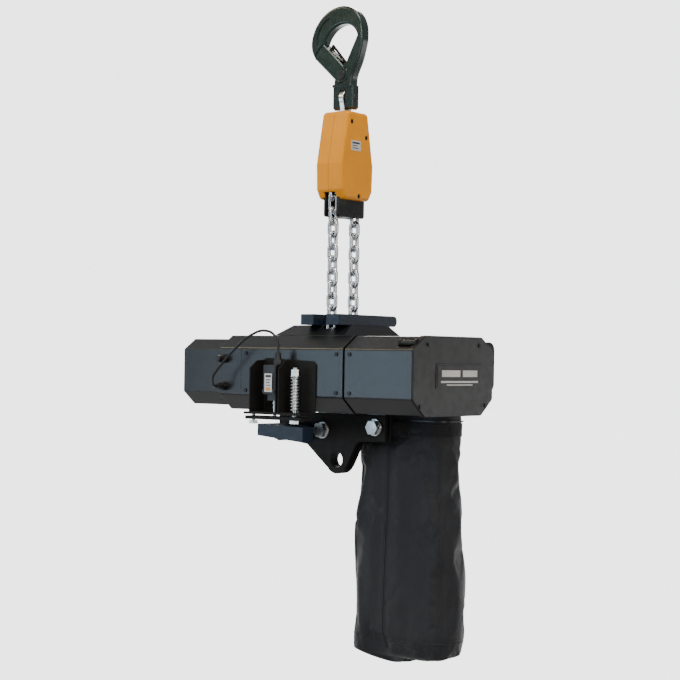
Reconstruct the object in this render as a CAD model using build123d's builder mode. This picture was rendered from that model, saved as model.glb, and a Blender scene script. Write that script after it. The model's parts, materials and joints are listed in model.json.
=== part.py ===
"""Electric chain hoist in climbing arrangement, double reeved, with chain bag and overload switch.

Frame, in millimetres: the origin is the bowl of the top hook, where the load line starts. +Z is up,
+X runs along the hoist body towards the controls, and +Y points to the back of the body.
"""

import os
from math import asin, cos, degrees, pi, radians, sin, tan

from build123d import *

os.makedirs("parts", exist_ok=True)

# ---------------------------------------------------------------- driving dimensions
GAP = 0.5  # clear space between pieces that don't touch

# load chain, 9 x 27
CHAIN_WIRE = 9.0
CHAIN_PITCH = 27.0
CHAIN_WIDTH = 29.4
CHAIN_PLAY = 0.3
FALL_Y = 38.0  # each fall hangs this far in front of or behind the load line

# top hook
HOOK_THICK = 28.0
HOOK_TOP = 41.5
HOOK_EDGE = 6.0
GATE_PIVOT = (-2.0, -113.0)  # X and Z
GATE_TIP_R = 90.5  # from the gate's pivot to its free end
GATE_KNUCKLE_R = 18.0
GATE_OPEN = 40  # degrees
TANG_THICK = 15.0
CLEVIS_Z = -165.0
CLEVIS_GAP = 16.0
CLEVIS_WIDTH = 58.0
CLEVIS_DEPTH = 24.0
CLEVIS_R = 26.0
CLEVIS_PIN_R = 8.0
EYE_THICK = 12.0
SHANK_R = 11.0

# hook block
BLOCK_TOP = -197.0
BLOCK_BOTTOM = -393.0
BLOCK_WIDE_Z = -315.0
BLOCK_WIDTH = 74.0
BLOCK_WALL = 4.0
BLOCK_TOP_Y = 37.0
BLOCK_WIDE_Y = 59.0
BLOCK_LOW_Y = 57.0
BLOCK_LOW_Z = -372.0
BLOCK_FOOT_Y = 45.0
SEAM = 0.6
BUFFER_BOTTOM = -431.0
BUFFER_X = 23.0
BUFFER_Y = 47.0
SHEAVE_Z = -326.0
SHEAVE_FLANGE_R = 47.0
AXLE_R = 11.0

# hoist body
COVER_TOP = -695.0
COVER_BOTTOM = -862.0
COVER_FRONT = -122.0
COVER_BACK = 172.0
CHAMFER_Y = 42.0
CHAMFER_TOP = 28.0
CHAMFER_LOW = 34.0
COVER_BEND = 7.0
COVER_WALL = 3.0
BRAKE_END_X = -374.0
BRAKE_SEAM_X = -255.0
BRAKE_STEP = 8.5
MOTOR_SEAM_X = -190.0
CENTRE_END_X = 101.0
CONTROL_X = 105.0
CONTROL_END_X = 287.0
RIM_RAISE = 2.0
RIM_LENGTH = 9.0

# chain throat and guide rails on top
THROAT_TOP = -671.0
THROAT_LEFT = -104.0
THROAT_RIGHT = 60.0
THROAT_SPLAY = 26.0
RAIL_TOP = -647.0
RAIL_INNER_X = 17.5
RAIL_OUTER_X = 54.5
RAIL_FRONT = -80.0
RAIL_BACK = 130.0

# drive
WHEEL_Y = 6.0
WHEEL_Z = -775.0
WHEEL_PITCH_R = 44.0
GEAR_MODULE = 1.75
PINION_TEETH = 14
SECOND_TEETH = 56
THIRD_TEETH = 16
OUTPUT_TEETH = 54
GEAR_SPACING = GEAR_MODULE * (PINION_TEETH + SECOND_TEETH) / 2
STATOR_R = 64.0
ROTOR_R = 40.0
MOTOR_X0 = -335.0
MOTOR_X1 = -178.0

# suspension plates
EYE_Z = -968.0
EYE_R = 17.5
PLATE_THICK = 10.0
PLATE_GAP = 8.0
BOLT_POINTS = ((-40.0, -904.0), (107.0, -893.0))
BOLT_R = 10.0

# overload switch
BRACKET_X0 = -121.0
BRACKET_X1 = 28.0
BRACKET_TOP = -745.0
SHELF_Z = -863.0
PARTITION_X = -42.0
BRACKET_FRONT = -172.0
LEVER_TOP = -872.0
LEVER_THICK = 7.0
SPRING_X = -10.0
SPRING_Y = -148.0
SWITCH_X = -69.0
SWITCH_Y = -150.0
LEVER_PIVOT_X = -128.0

# chain bag
BAG_X0 = -2.0
BAG_X1 = 258.0
BAG_Y0 = 33.0
BAG_Y1 = 146.0
BAG_TOP = -879.0
BAG_BOTTOM = -1412.0
BAG_CORNER = 38.0
BAG_HINGE_Z = -869.0

# switch cable
CABLE_R = 2.75
CABLE_ROUTE = [
    (-58, -150, -733),
    (-58, -150, -709),
    (-74, -152, -688),
    (-106, -154, -684),
    (-148, -157, -702),
    (-186, -160, -734),
    (-220, -161, -766),
    (-242, -161, -789),
    (-240, -159, -810),
    (-240, -147, -810),
]


# ---------------------------------------------------------------- shared shapes
def cover_profile(inset=0.0, bend=COVER_BEND):
    """Fills the open sketch, on a YZ plane, with the covers' section moved in by inset."""
    points = [
        (COVER_FRONT, COVER_TOP - CHAMFER_TOP),
        (COVER_FRONT + CHAMFER_Y, COVER_TOP),
        (COVER_BACK - CHAMFER_Y, COVER_TOP),
        (COVER_BACK, COVER_TOP - CHAMFER_TOP),
        (COVER_BACK, COVER_BOTTOM + CHAMFER_LOW),
        (COVER_BACK - CHAMFER_Y, COVER_BOTTOM),
        (COVER_FRONT + CHAMFER_Y, COVER_BOTTOM),
        (COVER_FRONT, COVER_BOTTOM + CHAMFER_LOW),
    ]
    with BuildSketch(mode=Mode.PRIVATE) as section:
        with BuildLine():
            Polyline(*points, close=True)
        make_face()
        if inset:
            offset(amount=-inset, kind=Kind.INTERSECTION, mode=Mode.REPLACE)
        fillet(section.vertices(), max(bend - inset, 1.5))
    add(section.sketch)


def block_profile(inset=0.0):
    """Fills the open sketch, on a YZ plane, with the hook block's outline moved in by inset."""
    with BuildSketch(mode=Mode.PRIVATE) as outline:
        with BuildLine():
            Polyline(
                (-BLOCK_TOP_Y, BLOCK_TOP),
                (BLOCK_TOP_Y, BLOCK_TOP),
                (BLOCK_WIDE_Y, BLOCK_WIDE_Z),
                (BLOCK_LOW_Y, BLOCK_LOW_Z),
                (BLOCK_FOOT_Y, BLOCK_BOTTOM),
                (-BLOCK_FOOT_Y, BLOCK_BOTTOM),
                (-BLOCK_LOW_Y, BLOCK_LOW_Z),
                (-BLOCK_WIDE_Y, BLOCK_WIDE_Z),
                close=True,
            )
        make_face()
        if inset:
            offset(amount=-inset, kind=Kind.INTERSECTION, mode=Mode.REPLACE)
        fillet(outline.vertices(), 11.0)
    add(outline.sketch)


def gate_outline(grow=0.0):
    """Fills the open sketch, on an XZ plane centred on the gate's pivot, with the gate's side view."""
    tip = GATE_TIP_R + grow
    lean = radians(138.8)
    half = 12.5 + degrees(grow / tip)
    ends = [lean - radians(half), lean + radians(half)]
    inner, outer = [(tip * cos(a), tip * sin(a)) for a in ends]
    with BuildSketch(mode=Mode.PRIVATE) as side:
        with BuildLine():
            ThreePointArc(inner, (tip * cos(lean), tip * sin(lean)), outer)
            Polyline(outer, (-16 - grow, -13 - grow), (8 + grow, 15 + grow), inner)
        make_face()
        Circle(GATE_KNUCKLE_R + grow)
    add(side.sketch)


def gear_profile(teeth, turn=0.0):
    """Fills the open sketch with a gear of straight-flanked teeth, first tooth at angle turn."""
    pitch_r = GEAR_MODULE * teeth / 2
    root_r = pitch_r - 1.25 * GEAR_MODULE
    tip_r = pitch_r + 0.85 * GEAR_MODULE
    half_root = 0.27 * pi * GEAR_MODULE
    half_tip = 0.10 * pi * GEAR_MODULE
    Circle(root_r)
    with PolarLocations(0, teeth, start_angle=turn):
        with BuildSketch(mode=Mode.PRIVATE) as tooth:
            with BuildLine():
                Polyline(
                    (root_r - 1, -half_root),
                    (tip_r, -half_tip),
                    (tip_r, half_tip),
                    (root_r - 1, half_root),
                    close=True,
                )
            make_face()
        add(tooth.sketch)


def grooved_wheel_section(flange_r, hub_r, seat_r, slot_r, half_width):
    """Fills the open sketch, on a plane whose x is the axle, with half a grooved wheel's section."""
    slot_half = CHAIN_WIRE / 2 + 1.0
    seat_half = CHAIN_WIDTH / 2 + 0.8
    with BuildSketch(mode=Mode.PRIVATE) as section:
        with BuildLine():
            Polyline(
                (-half_width, hub_r),
                (-half_width, flange_r - 4),
                (-half_width + 2, flange_r),
                (-seat_half - 1.5, flange_r),
                (-seat_half, seat_r),
                (-slot_half, seat_r),
                (-slot_half, slot_r),
                (slot_half, slot_r),
                (slot_half, seat_r),
                (seat_half, seat_r),
                (seat_half + 1.5, flange_r),
                (half_width - 2, flange_r),
                (half_width, flange_r - 4),
                (half_width, hub_r),
                close=True,
            )
        make_face()
    add(section.sketch)


with BuildPart() as chain_link:
    link_r = (CHAIN_WIDTH - CHAIN_WIRE) / 2
    link_half = (CHAIN_PITCH + CHAIN_PLAY + CHAIN_WIRE) / 2 - link_r
    with BuildLine(Plane.XZ):
        Line((link_r, -link_half), (link_r, link_half))
        ThreePointArc((link_r, link_half), (0, link_half + link_r), (-link_r, link_half))
        Line((-link_r, link_half), (-link_r, -link_half))
        ThreePointArc((-link_r, -link_half), (0, -link_half - link_r), (link_r, -link_half))
    with BuildSketch(Plane.XY.offset(-link_half).move(Location((link_r, 0, 0)))):
        Circle(CHAIN_WIRE / 2)
    sweep()

FLAT_LINK = Rotation(0, 0, 0)  # lies in the XZ plane
EDGE_LINK = Rotation(0, 0, 90)  # lies in the YZ plane


def fall_of_chain(y, top_z, links, first_edge):
    """Adds a straight run of links down from top_z to the open part."""
    for k in range(links):
        edge = (k % 2 == 0) == first_edge
        turn = EDGE_LINK if edge else FLAT_LINK
        add(chain_link.part.moved(Location((0, y, top_z - k * CHAIN_PITCH)) * turn))


# ---------------------------------------------------------------- top hook
PIVOT_PLANE = Plane(origin=(GATE_PIVOT[0], 0, GATE_PIVOT[1]), x_dir=(1, 0, 0), z_dir=(0, -1, 0))
TIP_FACE_R = GATE_TIP_R + 0.8
TIP_FACE_ANGLES = (151, 139, 126.5)  # the forging's end face, outside to inside
TANG_FRONT = [(12, -84), (4, -92), (-12, -92), (-22, -100), (-26.5, -113), (-27, -128), (-28, -140)]
SPINE = [(24, -140), (26, -118), (37, -94), (46.5, -68), (53, -42), (54, -20.5)]

with BuildPart() as hook_forging:
    tip_out, tip_mid, tip_in = [
        (GATE_PIVOT[0] + TIP_FACE_R * cos(radians(a)), GATE_PIVOT[1] + TIP_FACE_R * sin(radians(a)))
        for a in TIP_FACE_ANGLES
    ]
    with BuildSketch(Plane.XZ):
        with BuildLine():
            Spline(*SPINE, tangents=((0, 1), (0, 1)))
            ThreePointArc((54, -20.5), (35.8, 23.3), (-8, HOOK_TOP))
            ThreePointArc((-8, HOOK_TOP), (-62.5, 21.9), (-92, -28))
            ThreePointArc((-92, -28), (-91.5, -49), tip_out)
            ThreePointArc(tip_out, tip_mid, tip_in)
            ThreePointArc(tip_in, (-35.0, -11.2), (0, 0))
            ThreePointArc((0, 0), (25.5, -9.4), (39, -33))
            Line((39, -33), (12, -84))
            Polyline(*TANG_FRONT, (24, -140))
        make_face()
    extrude(amount=HOOK_THICK / 2, both=True)
    rim = hook_forging.edges().filter_by(GeomType.LINE, reverse=True)
    rim = rim.filter_by(lambda e: abs(abs(e.center().Y) - HOOK_THICK / 2) < 0.1 and e.length > 20)
    fillet(rim, HOOK_EDGE)
    with BuildSketch(Plane.XZ.offset(HOOK_THICK / 2), Plane.XZ.offset(-HOOK_THICK / 2)):
        with BuildLine():
            ThreePointArc((-40, 18), (-66, -3), (-76, -42))
            Line((-76, -42), (-68, -42))
            ThreePointArc((-68, -42), (-59, -6), (-37, 12))
            Line((-37, 12), (-40, 18))
        make_face()
    extrude(amount=2.0, both=True, mode=Mode.SUBTRACT)
    with BuildSketch(PIVOT_PLANE):
        for step in range(0, GATE_OPEN + 1, 5):
            with BuildSketch(mode=Mode.PRIVATE) as swept:
                gate_outline(0.7)
            add(swept.sketch.rotate(Axis.Z, step))
    extrude(amount=HOOK_THICK, both=True, mode=Mode.SUBTRACT)
    with BuildSketch(Plane.XZ):
        with BuildLine():
            Polyline(*TANG_FRONT, (10, -140), (18, -100), close=True)
        make_face()
    extrude(amount=TANG_THICK / 2, both=True)
    with BuildSketch(Plane.XY.offset(-138)):
        Rectangle(CLEVIS_WIDTH, CLEVIS_DEPTH)
    extrude(amount=CLEVIS_Z - CLEVIS_R + 138)
    clevis_corners = hook_forging.edges().filter_by(Axis.Z)
    clevis_corners = clevis_corners.filter_by(lambda e: abs(abs(e.center().X) - CLEVIS_WIDTH / 2) < 0.1)
    fillet(clevis_corners, 5.0)
    low = hook_forging.faces().sort_by(Axis.Z)[0].edges()
    chamfer(low, 4.5)
    with BuildSketch(Plane.XY.offset(-143)):
        Rectangle(CLEVIS_GAP, CLEVIS_DEPTH + 10)
    extrude(amount=-60, mode=Mode.SUBTRACT)
    with BuildSketch(Plane.YZ.offset(-CLEVIS_WIDTH)):
        with Locations((0, CLEVIS_Z)):
            Circle(CLEVIS_PIN_R)
    extrude(amount=2 * CLEVIS_WIDTH, mode=Mode.SUBTRACT)
    with BuildSketch(PIVOT_PLANE):
        Circle(6.0)
    extrude(amount=HOOK_THICK, both=True, mode=Mode.SUBTRACT)
hook_forging.part.label = "hook_forging"
export_step(hook_forging.part, "parts/hook_forging.step")

TRIGGER_PIVOT = (-35.5, -82.5)
TRIGGER_Y = 9.5  # middle of the trigger's plate
TRIGGER_THICK = 3.0


def trigger_outline(grow=0.0):
    """Fills the open sketch, on an XZ plane, with the trigger's bow and the arm that runs to its pin."""
    with BuildSketch(mode=Mode.PRIVATE) as bow:
        with BuildLine():
            Polyline(
                TRIGGER_PIVOT,
                (-44, -62),
                (-49.5, -47),
                (-46, -40),
                (-8, -82),
                (-14, -88),
                (-24, -88),
                close=True,
            )
        make_face()
        offset(amount=2.2 + grow, kind=Kind.ARC, mode=Mode.REPLACE)
        with BuildSketch(mode=Mode.PRIVATE) as window:
            with BuildLine():
                Polyline((-42.5, -51.5), (-44.5, -45.5), (-13, -80.5), (-18, -80), close=True)
            make_face()
        if not grow:
            add(window.sketch, mode=Mode.SUBTRACT)
    add(bow.sketch)


with BuildPart() as hook_gate:
    with BuildSketch(PIVOT_PLANE):
        gate_outline()
    extrude(amount=HOOK_THICK / 2, both=True)
    gate_rim = hook_gate.edges().filter_by(lambda e: abs(abs(e.center().Y) - HOOK_THICK / 2) < 0.1)
    chamfer(gate_rim, 2.0)
    with BuildSketch(PIVOT_PLANE):
        Circle(35.5)
    extrude(amount=TANG_THICK / 2 + 0.5, both=True, mode=Mode.SUBTRACT)
    with BuildSketch(Plane.XZ.offset(-TRIGGER_Y)):
        trigger_outline(2.6)
    extrude(amount=TRIGGER_THICK / 2 + 0.6, both=True, mode=Mode.SUBTRACT)
    with BuildSketch(PIVOT_PLANE):
        Circle(6.05)
    extrude(amount=HOOK_THICK, both=True, mode=Mode.SUBTRACT)
    with BuildSketch(Plane.XZ):
        with Locations(TRIGGER_PIVOT):
            Circle(2.5)
    extrude(amount=HOOK_THICK, both=True, mode=Mode.SUBTRACT)
hook_gate.part.label = "hook_gate"
export_step(hook_gate.part, "parts/hook_gate.step")

with BuildPart() as gate_trigger:
    with BuildSketch(Plane.XZ.offset(-TRIGGER_Y)):
        trigger_outline()
        with Locations(TRIGGER_PIVOT):
            Circle(2.52, mode=Mode.SUBTRACT)
    extrude(amount=TRIGGER_THICK / 2, both=True)
gate_trigger.part.label = "gate_trigger"
export_step(gate_trigger.part, "parts/gate_trigger.step")

with BuildPart() as gate_pivot_pin:
    with BuildSketch(PIVOT_PLANE):
        Circle(5.95)
    extrude(amount=HOOK_THICK / 2 + 0.3, both=True)
    for side in (-1, 1):
        with BuildSketch(PIVOT_PLANE.offset(side * (HOOK_THICK / 2 + 0.3))):
            Circle(10.0)
        extrude(amount=side * 2.2)
    chamfer(gate_pivot_pin.edges().group_by(Axis.Y)[0], 0.8)
    chamfer(gate_pivot_pin.edges().group_by(Axis.Y)[-1], 0.8)
gate_pivot_pin.part.label = "gate_pivot_pin"
export_step(gate_pivot_pin.part, "parts/gate_pivot_pin.step")

with BuildPart() as trigger_pin:
    with BuildSketch(Plane.XZ):
        with Locations(TRIGGER_PIVOT):
            Circle(2.45)
    extrude(amount=HOOK_THICK / 2 + 0.6, both=True)
trigger_pin.part.label = "trigger_pin"
export_step(trigger_pin.part, "parts/trigger_pin.step")

with BuildPart() as clevis_pin:
    with BuildSketch(Plane.YZ.offset(-CLEVIS_WIDTH / 2 - 1.5)):
        with Locations((0, CLEVIS_Z)):
            Circle(CLEVIS_PIN_R - 0.05)
    extrude(amount=CLEVIS_WIDTH + 3)
    chamfer(clevis_pin.faces().sort_by(Axis.X)[0].edges(), 1.2)
    chamfer(clevis_pin.faces().sort_by(Axis.X)[-1].edges(), 1.2)
clevis_pin.part.label = "clevis_pin"
export_step(clevis_pin.part, "parts/clevis_pin.step")

# ---------------------------------------------------------------- swivel eye
SHANK_END = -266.0
NUT_TOP = -249.0
BEARING_TOP = -235.1
CROSSHEAD_TOP = -207.0

with BuildPart() as swivel_eye:
    with BuildSketch(Plane.YZ.offset(-EYE_THICK / 2)):
        with Locations((0, CLEVIS_Z)):
            Circle(18.5)
        with BuildLine():
            Polyline(
                (-16, -172),
                (16, -172),
                (12, BLOCK_TOP + 3),
                (12, BLOCK_TOP - 6),
                (-12, BLOCK_TOP - 6),
                (-12, BLOCK_TOP + 3),
                close=True,
            )
        make_face()
        with Locations((0, CLEVIS_Z)):
            Circle(CLEVIS_PIN_R + 0.05, mode=Mode.SUBTRACT)
    extrude(amount=EYE_THICK)
    chamfer(swivel_eye.edges().filter_by(Axis.X, reverse=True).filter_by(lambda e: e.length > 12), 1.0)
    with BuildSketch(Plane.XY.offset(BLOCK_TOP - 2)):
        Circle(SHANK_R)
    extrude(amount=SHANK_END - BLOCK_TOP + 2)
swivel_eye.part.label = "swivel_eye"
export_step(swivel_eye.part, "parts/swivel_eye.step")

with BuildPart() as swivel_nut:
    with BuildSketch(Plane.XY.offset(NUT_TOP)):
        RegularPolygon(19.0, 6)
        Circle(SHANK_R, mode=Mode.SUBTRACT)
    extrude(amount=-14)
    chamfer(swivel_nut.faces().sort_by(Axis.Z)[0].outer_wire().edges(), 1.2)
swivel_nut.part.label = "swivel_nut"
export_step(swivel_nut.part, "parts/swivel_nut.step")

with BuildPart() as thrust_bearing:
    for low, high in ((BEARING_TOP - 4, BEARING_TOP), (NUT_TOP, NUT_TOP + 4)):
        with BuildSketch(Plane.XY.offset(low)):
            Circle(20.0)
            Circle(12.0, mode=Mode.SUBTRACT)
        extrude(amount=high - low)
    with Locations(Location((0, 0, (BEARING_TOP + NUT_TOP) / 2))):
        with PolarLocations(16.0, 12):
            Sphere(3.2)
thrust_bearing.part.label = "thrust_bearing"
export_step(thrust_bearing.part, "parts/thrust_bearing.step")

# ---------------------------------------------------------------- hook block
SCREW_POINTS = ((-22.0, -221.0), (30.0, -252.0), (6.0, -384.0))

with BuildPart() as block_crosshead:
    with BuildSketch(Plane.XY.offset(CROSSHEAD_TOP)):
        RectangleRounded(44.0, 60.0, 6.0)
        Circle(SHANK_R + 0.5, mode=Mode.SUBTRACT)
    extrude(amount=BEARING_TOP + 0.1 - CROSSHEAD_TOP)
    with BuildSketch(Plane.YZ.offset(-BLOCK_WIDTH / 2)):
        with Locations(*SCREW_POINTS):
            Circle(3.3)
    extrude(amount=BLOCK_WIDTH, mode=Mode.SUBTRACT)
block_crosshead.part.label = "block_crosshead"
export_step(block_crosshead.part, "parts/block_crosshead.step")

with BuildPart() as block_body:
    with BuildSketch(Plane.YZ):
        block_profile()
    extrude(amount=BLOCK_WIDTH / 2, both=True)
    side_edges = block_body.edges().filter_by(lambda e: abs(abs(e.center().X) - BLOCK_WIDTH / 2) < 0.1)
    fillet(side_edges, 9.0)
    with BuildSketch(Plane.YZ):
        block_profile(BLOCK_WALL)
    extrude(amount=BLOCK_WIDTH / 2 - BLOCK_WALL, both=True, mode=Mode.SUBTRACT)
    with BuildSketch(Plane.YZ.offset(-BLOCK_WIDTH / 2 + BLOCK_WALL)):
        with Locations((0, SHEAVE_Z)):
            Circle(19.0)
        with Locations(*SCREW_POINTS):
            Circle(8.0)
    extrude(amount=BLOCK_WIDTH - 2 * BLOCK_WALL)
    with BuildSketch(Plane.YZ.offset(-BLOCK_WIDTH / 2 + 14)):
        with Locations(*SCREW_POINTS):
            Circle(12.0)
    extrude(amount=BLOCK_WIDTH - 28, mode=Mode.SUBTRACT)
    with BuildSketch(Plane.YZ.offset(-BLOCK_WIDTH / 2 + 13)):
        with Locations((0, SHEAVE_Z)):
            Circle(24.0)
    extrude(amount=BLOCK_WIDTH - 26, mode=Mode.SUBTRACT)
    with BuildSketch(Plane.YZ.offset(-BLOCK_WIDTH / 2 - 1)):
        with Locations(*SCREW_POINTS):
            Circle(3.1)
    extrude(amount=BLOCK_WIDTH + 2, mode=Mode.SUBTRACT)
    for face_x, depth in ((BLOCK_WIDTH / 2, -8), (-BLOCK_WIDTH / 2, 8)):
        with BuildSketch(Plane.YZ.offset(face_x)):
            with Locations(*SCREW_POINTS):
                Circle(5.6)
        extrude(amount=depth, mode=Mode.SUBTRACT)
    with BuildSketch(Plane.YZ.offset(-BLOCK_WIDTH / 2 + 8)):
        with Locations((0, SHEAVE_Z)):
            Circle(AXLE_R)
    extrude(amount=BLOCK_WIDTH - 16, mode=Mode.SUBTRACT)
    with BuildSketch(Plane.XY.offset(BLOCK_TOP + 1)):
        Circle(15.0)
    extrude(amount=-14, mode=Mode.SUBTRACT)
    with BuildSketch(Plane.XY.offset(BLOCK_BOTTOM - 1)):
        Rectangle(2 * BUFFER_X + 0.6, 2 * BUFFER_Y + 0.6)
        with Locations((0, -FALL_Y), (0, FALL_Y)):
            Rectangle(CHAIN_WIDTH + 3, CHAIN_WIDTH + 2)
    extrude(amount=18, mode=Mode.SUBTRACT)
    with BuildSketch(Plane.XY.offset(BLOCK_BOTTOM - 1)):
        with Locations((0, -FALL_Y), (0, FALL_Y)):
            Rectangle(CHAIN_WIDTH + 3, CHAIN_WIDTH + 2)
    extrude(amount=56, mode=Mode.SUBTRACT)

with BuildPart() as block_shell_left:
    add(block_body.part)
    with BuildSketch(Plane.YZ.offset(-SEAM / 2)):
        Rectangle(400, 1200)
    extrude(amount=200, mode=Mode.SUBTRACT)
block_shell_left.part.label = "block_shell_left"
export_step(block_shell_left.part, "parts/block_shell_left.step")

with BuildPart() as block_shell_right:
    add(block_body.part)
    with BuildSketch(Plane.YZ.offset(SEAM / 2)):
        Rectangle(400, 1200)
    extrude(amount=-200, mode=Mode.SUBTRACT)
block_shell_right.part.label = "block_shell_right"
export_step(block_shell_right.part, "parts/block_shell_right.step")

with BuildPart() as block_screws:
    with BuildSketch(Plane.YZ.offset(-BLOCK_WIDTH / 2 + 9)):
        with Locations(*SCREW_POINTS):
            Circle(3.0)
    extrude(amount=BLOCK_WIDTH - 17)
    with BuildSketch(Plane.YZ.offset(BLOCK_WIDTH / 2 - 7.9)):
        with Locations(*SCREW_POINTS):
            Circle(5.2)
    extrude(amount=6)
    with BuildSketch(Plane.YZ.offset(BLOCK_WIDTH / 2 - 4.9)):
        with Locations(*SCREW_POINTS):
            RegularPolygon(2.9, 6)
    extrude(amount=6, mode=Mode.SUBTRACT)
block_screws.part.label = "block_screws"
export_step(block_screws.part, "parts/block_screws.step")

with BuildPart() as sheave_axle:
    with BuildSketch(Plane.YZ.offset(-BLOCK_WIDTH / 2 + 8.2)):
        with Locations((0, SHEAVE_Z)):
            Circle(AXLE_R)
    extrude(amount=BLOCK_WIDTH - 16.4)
sheave_axle.part.label = "sheave_axle"
export_step(sheave_axle.part, "parts/sheave_axle.step")

SHEAVE_SEAT_R = FALL_Y - CHAIN_WIRE / 2 - 0.8
SHEAVE_SLOT_R = FALL_Y - CHAIN_WIDTH / 2 - 0.8
SHEAVE_HALF = 21.5

with BuildPart() as block_sheave:
    with BuildSketch(Plane(origin=(0, 0, SHEAVE_Z), x_dir=(1, 0, 0), z_dir=(0, -1, 0))):
        grooved_wheel_section(SHEAVE_FLANGE_R, AXLE_R + 2.6, SHEAVE_SEAT_R, SHEAVE_SLOT_R, SHEAVE_HALF)
    revolve(axis=Axis((0, 0, SHEAVE_Z), (1, 0, 0)))
    with BuildSketch(Plane.YZ.offset(SHEAVE_HALF - 3)):
        with Locations((0, SHEAVE_Z)):
            with PolarLocations(30.0, 6):
                Circle(4.5)
    extrude(amount=10, mode=Mode.SUBTRACT)
block_sheave.part.label = "block_sheave"
export_step(block_sheave.part, "parts/block_sheave.step")

with BuildPart() as sheave_bush:
    with BuildSketch(Plane.YZ.offset(-SHEAVE_HALF)):
        with Locations((0, SHEAVE_Z)):
            Circle(AXLE_R + 2.6)
            Circle(AXLE_R + 0.05, mode=Mode.SUBTRACT)
    extrude(amount=2 * SHEAVE_HALF)
sheave_bush.part.label = "sheave_bush"
export_step(sheave_bush.part, "parts/sheave_bush.step")

LINK_STEP = 2 * degrees(asin(CHAIN_PITCH / 2 / FALL_Y))
with BuildPart() as chain_over_sheave:
    for k in range(-2, 3):
        lean = k * LINK_STEP
        y = FALL_Y * sin(radians(lean))
        z = SHEAVE_Z + FALL_Y * cos(radians(lean))
        kind = EDGE_LINK if k % 2 == 0 else FLAT_LINK
        add(chain_link.part.moved(Location((0, y, z)) * Rotation(90 - lean, 0, 0) * kind))
chain_over_sheave.part.label = "chain_over_sheave"
export_step(chain_over_sheave.part, "parts/chain_over_sheave.step")

with BuildPart() as block_buffer:
    with BuildSketch(Plane.XY.offset(BLOCK_BOTTOM + 14)):
        RectangleRounded(2 * BUFFER_X, 2 * BUFFER_Y, 6.0)
    extrude(amount=BUFFER_BOTTOM - BLOCK_BOTTOM - 14)
    fillet(block_buffer.faces().sort_by(Axis.Z)[0].edges(), 5.0)
    with BuildSketch(Plane.XY.offset(BLOCK_BOTTOM + 20)):
        for side in (-1, 1):
            with Locations((0, side * (FALL_Y + 10))):
                Rectangle(CHAIN_WIDTH + 2, CHAIN_WIDTH + 22)
    extrude(amount=-90, mode=Mode.SUBTRACT)
    with BuildSketch(Plane.XY.offset(BUFFER_BOTTOM)):
        Rectangle(2 * BUFFER_X, 2 * (FALL_Y - 18.2))
    extrude(amount=52)
    chamfer(block_buffer.faces().sort_by(Axis.Z)[0].edges().filter_by(Axis.X), 3.0)
    with BuildSketch(Plane.YZ.offset(-BLOCK_WIDTH / 2)):
        with Locations(*SCREW_POINTS):
            Circle(3.3)
    extrude(amount=BLOCK_WIDTH, mode=Mode.SUBTRACT)
block_buffer.part.label = "block_buffer"
export_step(block_buffer.part, "parts/block_buffer.step")

# ---------------------------------------------------------------- chain falls
FALL_TOP = SHEAVE_Z + FALL_Y * cos(radians(2 * LINK_STEP)) - 2 * CHAIN_PITCH
RUNNING_LINKS = 15
DEAD_LINKS = 13
ANCHOR_Z = FALL_TOP - (DEAD_LINKS - 1) * CHAIN_PITCH - link_half - link_r + CHAIN_WIRE / 2 + 4.1

with BuildPart() as chain_running_fall:
    fall_of_chain(-FALL_Y, FALL_TOP, RUNNING_LINKS, True)
chain_running_fall.part.label = "chain_running_fall"
export_step(chain_running_fall.part, "parts/chain_running_fall.step")

with BuildPart() as chain_dead_fall:
    fall_of_chain(FALL_Y, FALL_TOP, DEAD_LINKS, True)
chain_dead_fall.part.label = "chain_dead_fall"
export_step(chain_dead_fall.part, "parts/chain_dead_fall.step")

# ---------------------------------------------------------------- covers
CHAIN_SLOT_X = 2 * RAIL_INNER_X
CHAIN_SLOT_Y = 2 * (FALL_Y + CHAIN_WIDTH / 2 + 3)
WEB_X0 = -150.0
WEB_X1 = 130.0


def hollow_cover(x0, x1, inset=0.0):
    """Adds a folded sheet-steel tube with the covers' section between x0 and x1."""
    for move, mode in ((inset, Mode.ADD), (inset + COVER_WALL, Mode.SUBTRACT)):
        with BuildSketch(Plane.YZ.offset(x0), mode=Mode.PRIVATE) as section:
            cover_profile(move)
        extrude(section.sketch, amount=x1 - x0, mode=mode)


def rolled_rim(x0, x1):
    """Adds a raised rim round the outside of a cover."""
    with BuildSketch(Plane.YZ.offset(x0), mode=Mode.PRIVATE) as section:
        cover_profile(-RIM_RAISE)
        with BuildSketch(mode=Mode.PRIVATE) as inside:
            cover_profile(COVER_WALL / 2)
        add(inside.sketch, mode=Mode.SUBTRACT)
    extrude(section.sketch, amount=x1 - x0)


with BuildPart() as centre_cover:
    hollow_cover(MOTOR_SEAM_X + GAP, CENTRE_END_X)
    rolled_rim(CENTRE_END_X - RIM_LENGTH, CENTRE_END_X)
    with BuildSketch(Plane.XY.offset(COVER_TOP - 12)):
        Rectangle(CHAIN_SLOT_X + 4, CHAIN_SLOT_Y + 4)
    extrude(amount=40, mode=Mode.SUBTRACT)
    with BuildSketch(Plane.XY.offset(COVER_BOTTOM - 5)):
        with Locations(((WEB_X0 + WEB_X1) / 2, 0)):
            Rectangle(WEB_X1 - WEB_X0 + 4, 2 * PLATE_THICK + PLATE_GAP + 4)
    extrude(amount=20, mode=Mode.SUBTRACT)
centre_cover.part.label = "centre_cover"
export_step(centre_cover.part, "parts/centre_cover.step")

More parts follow.
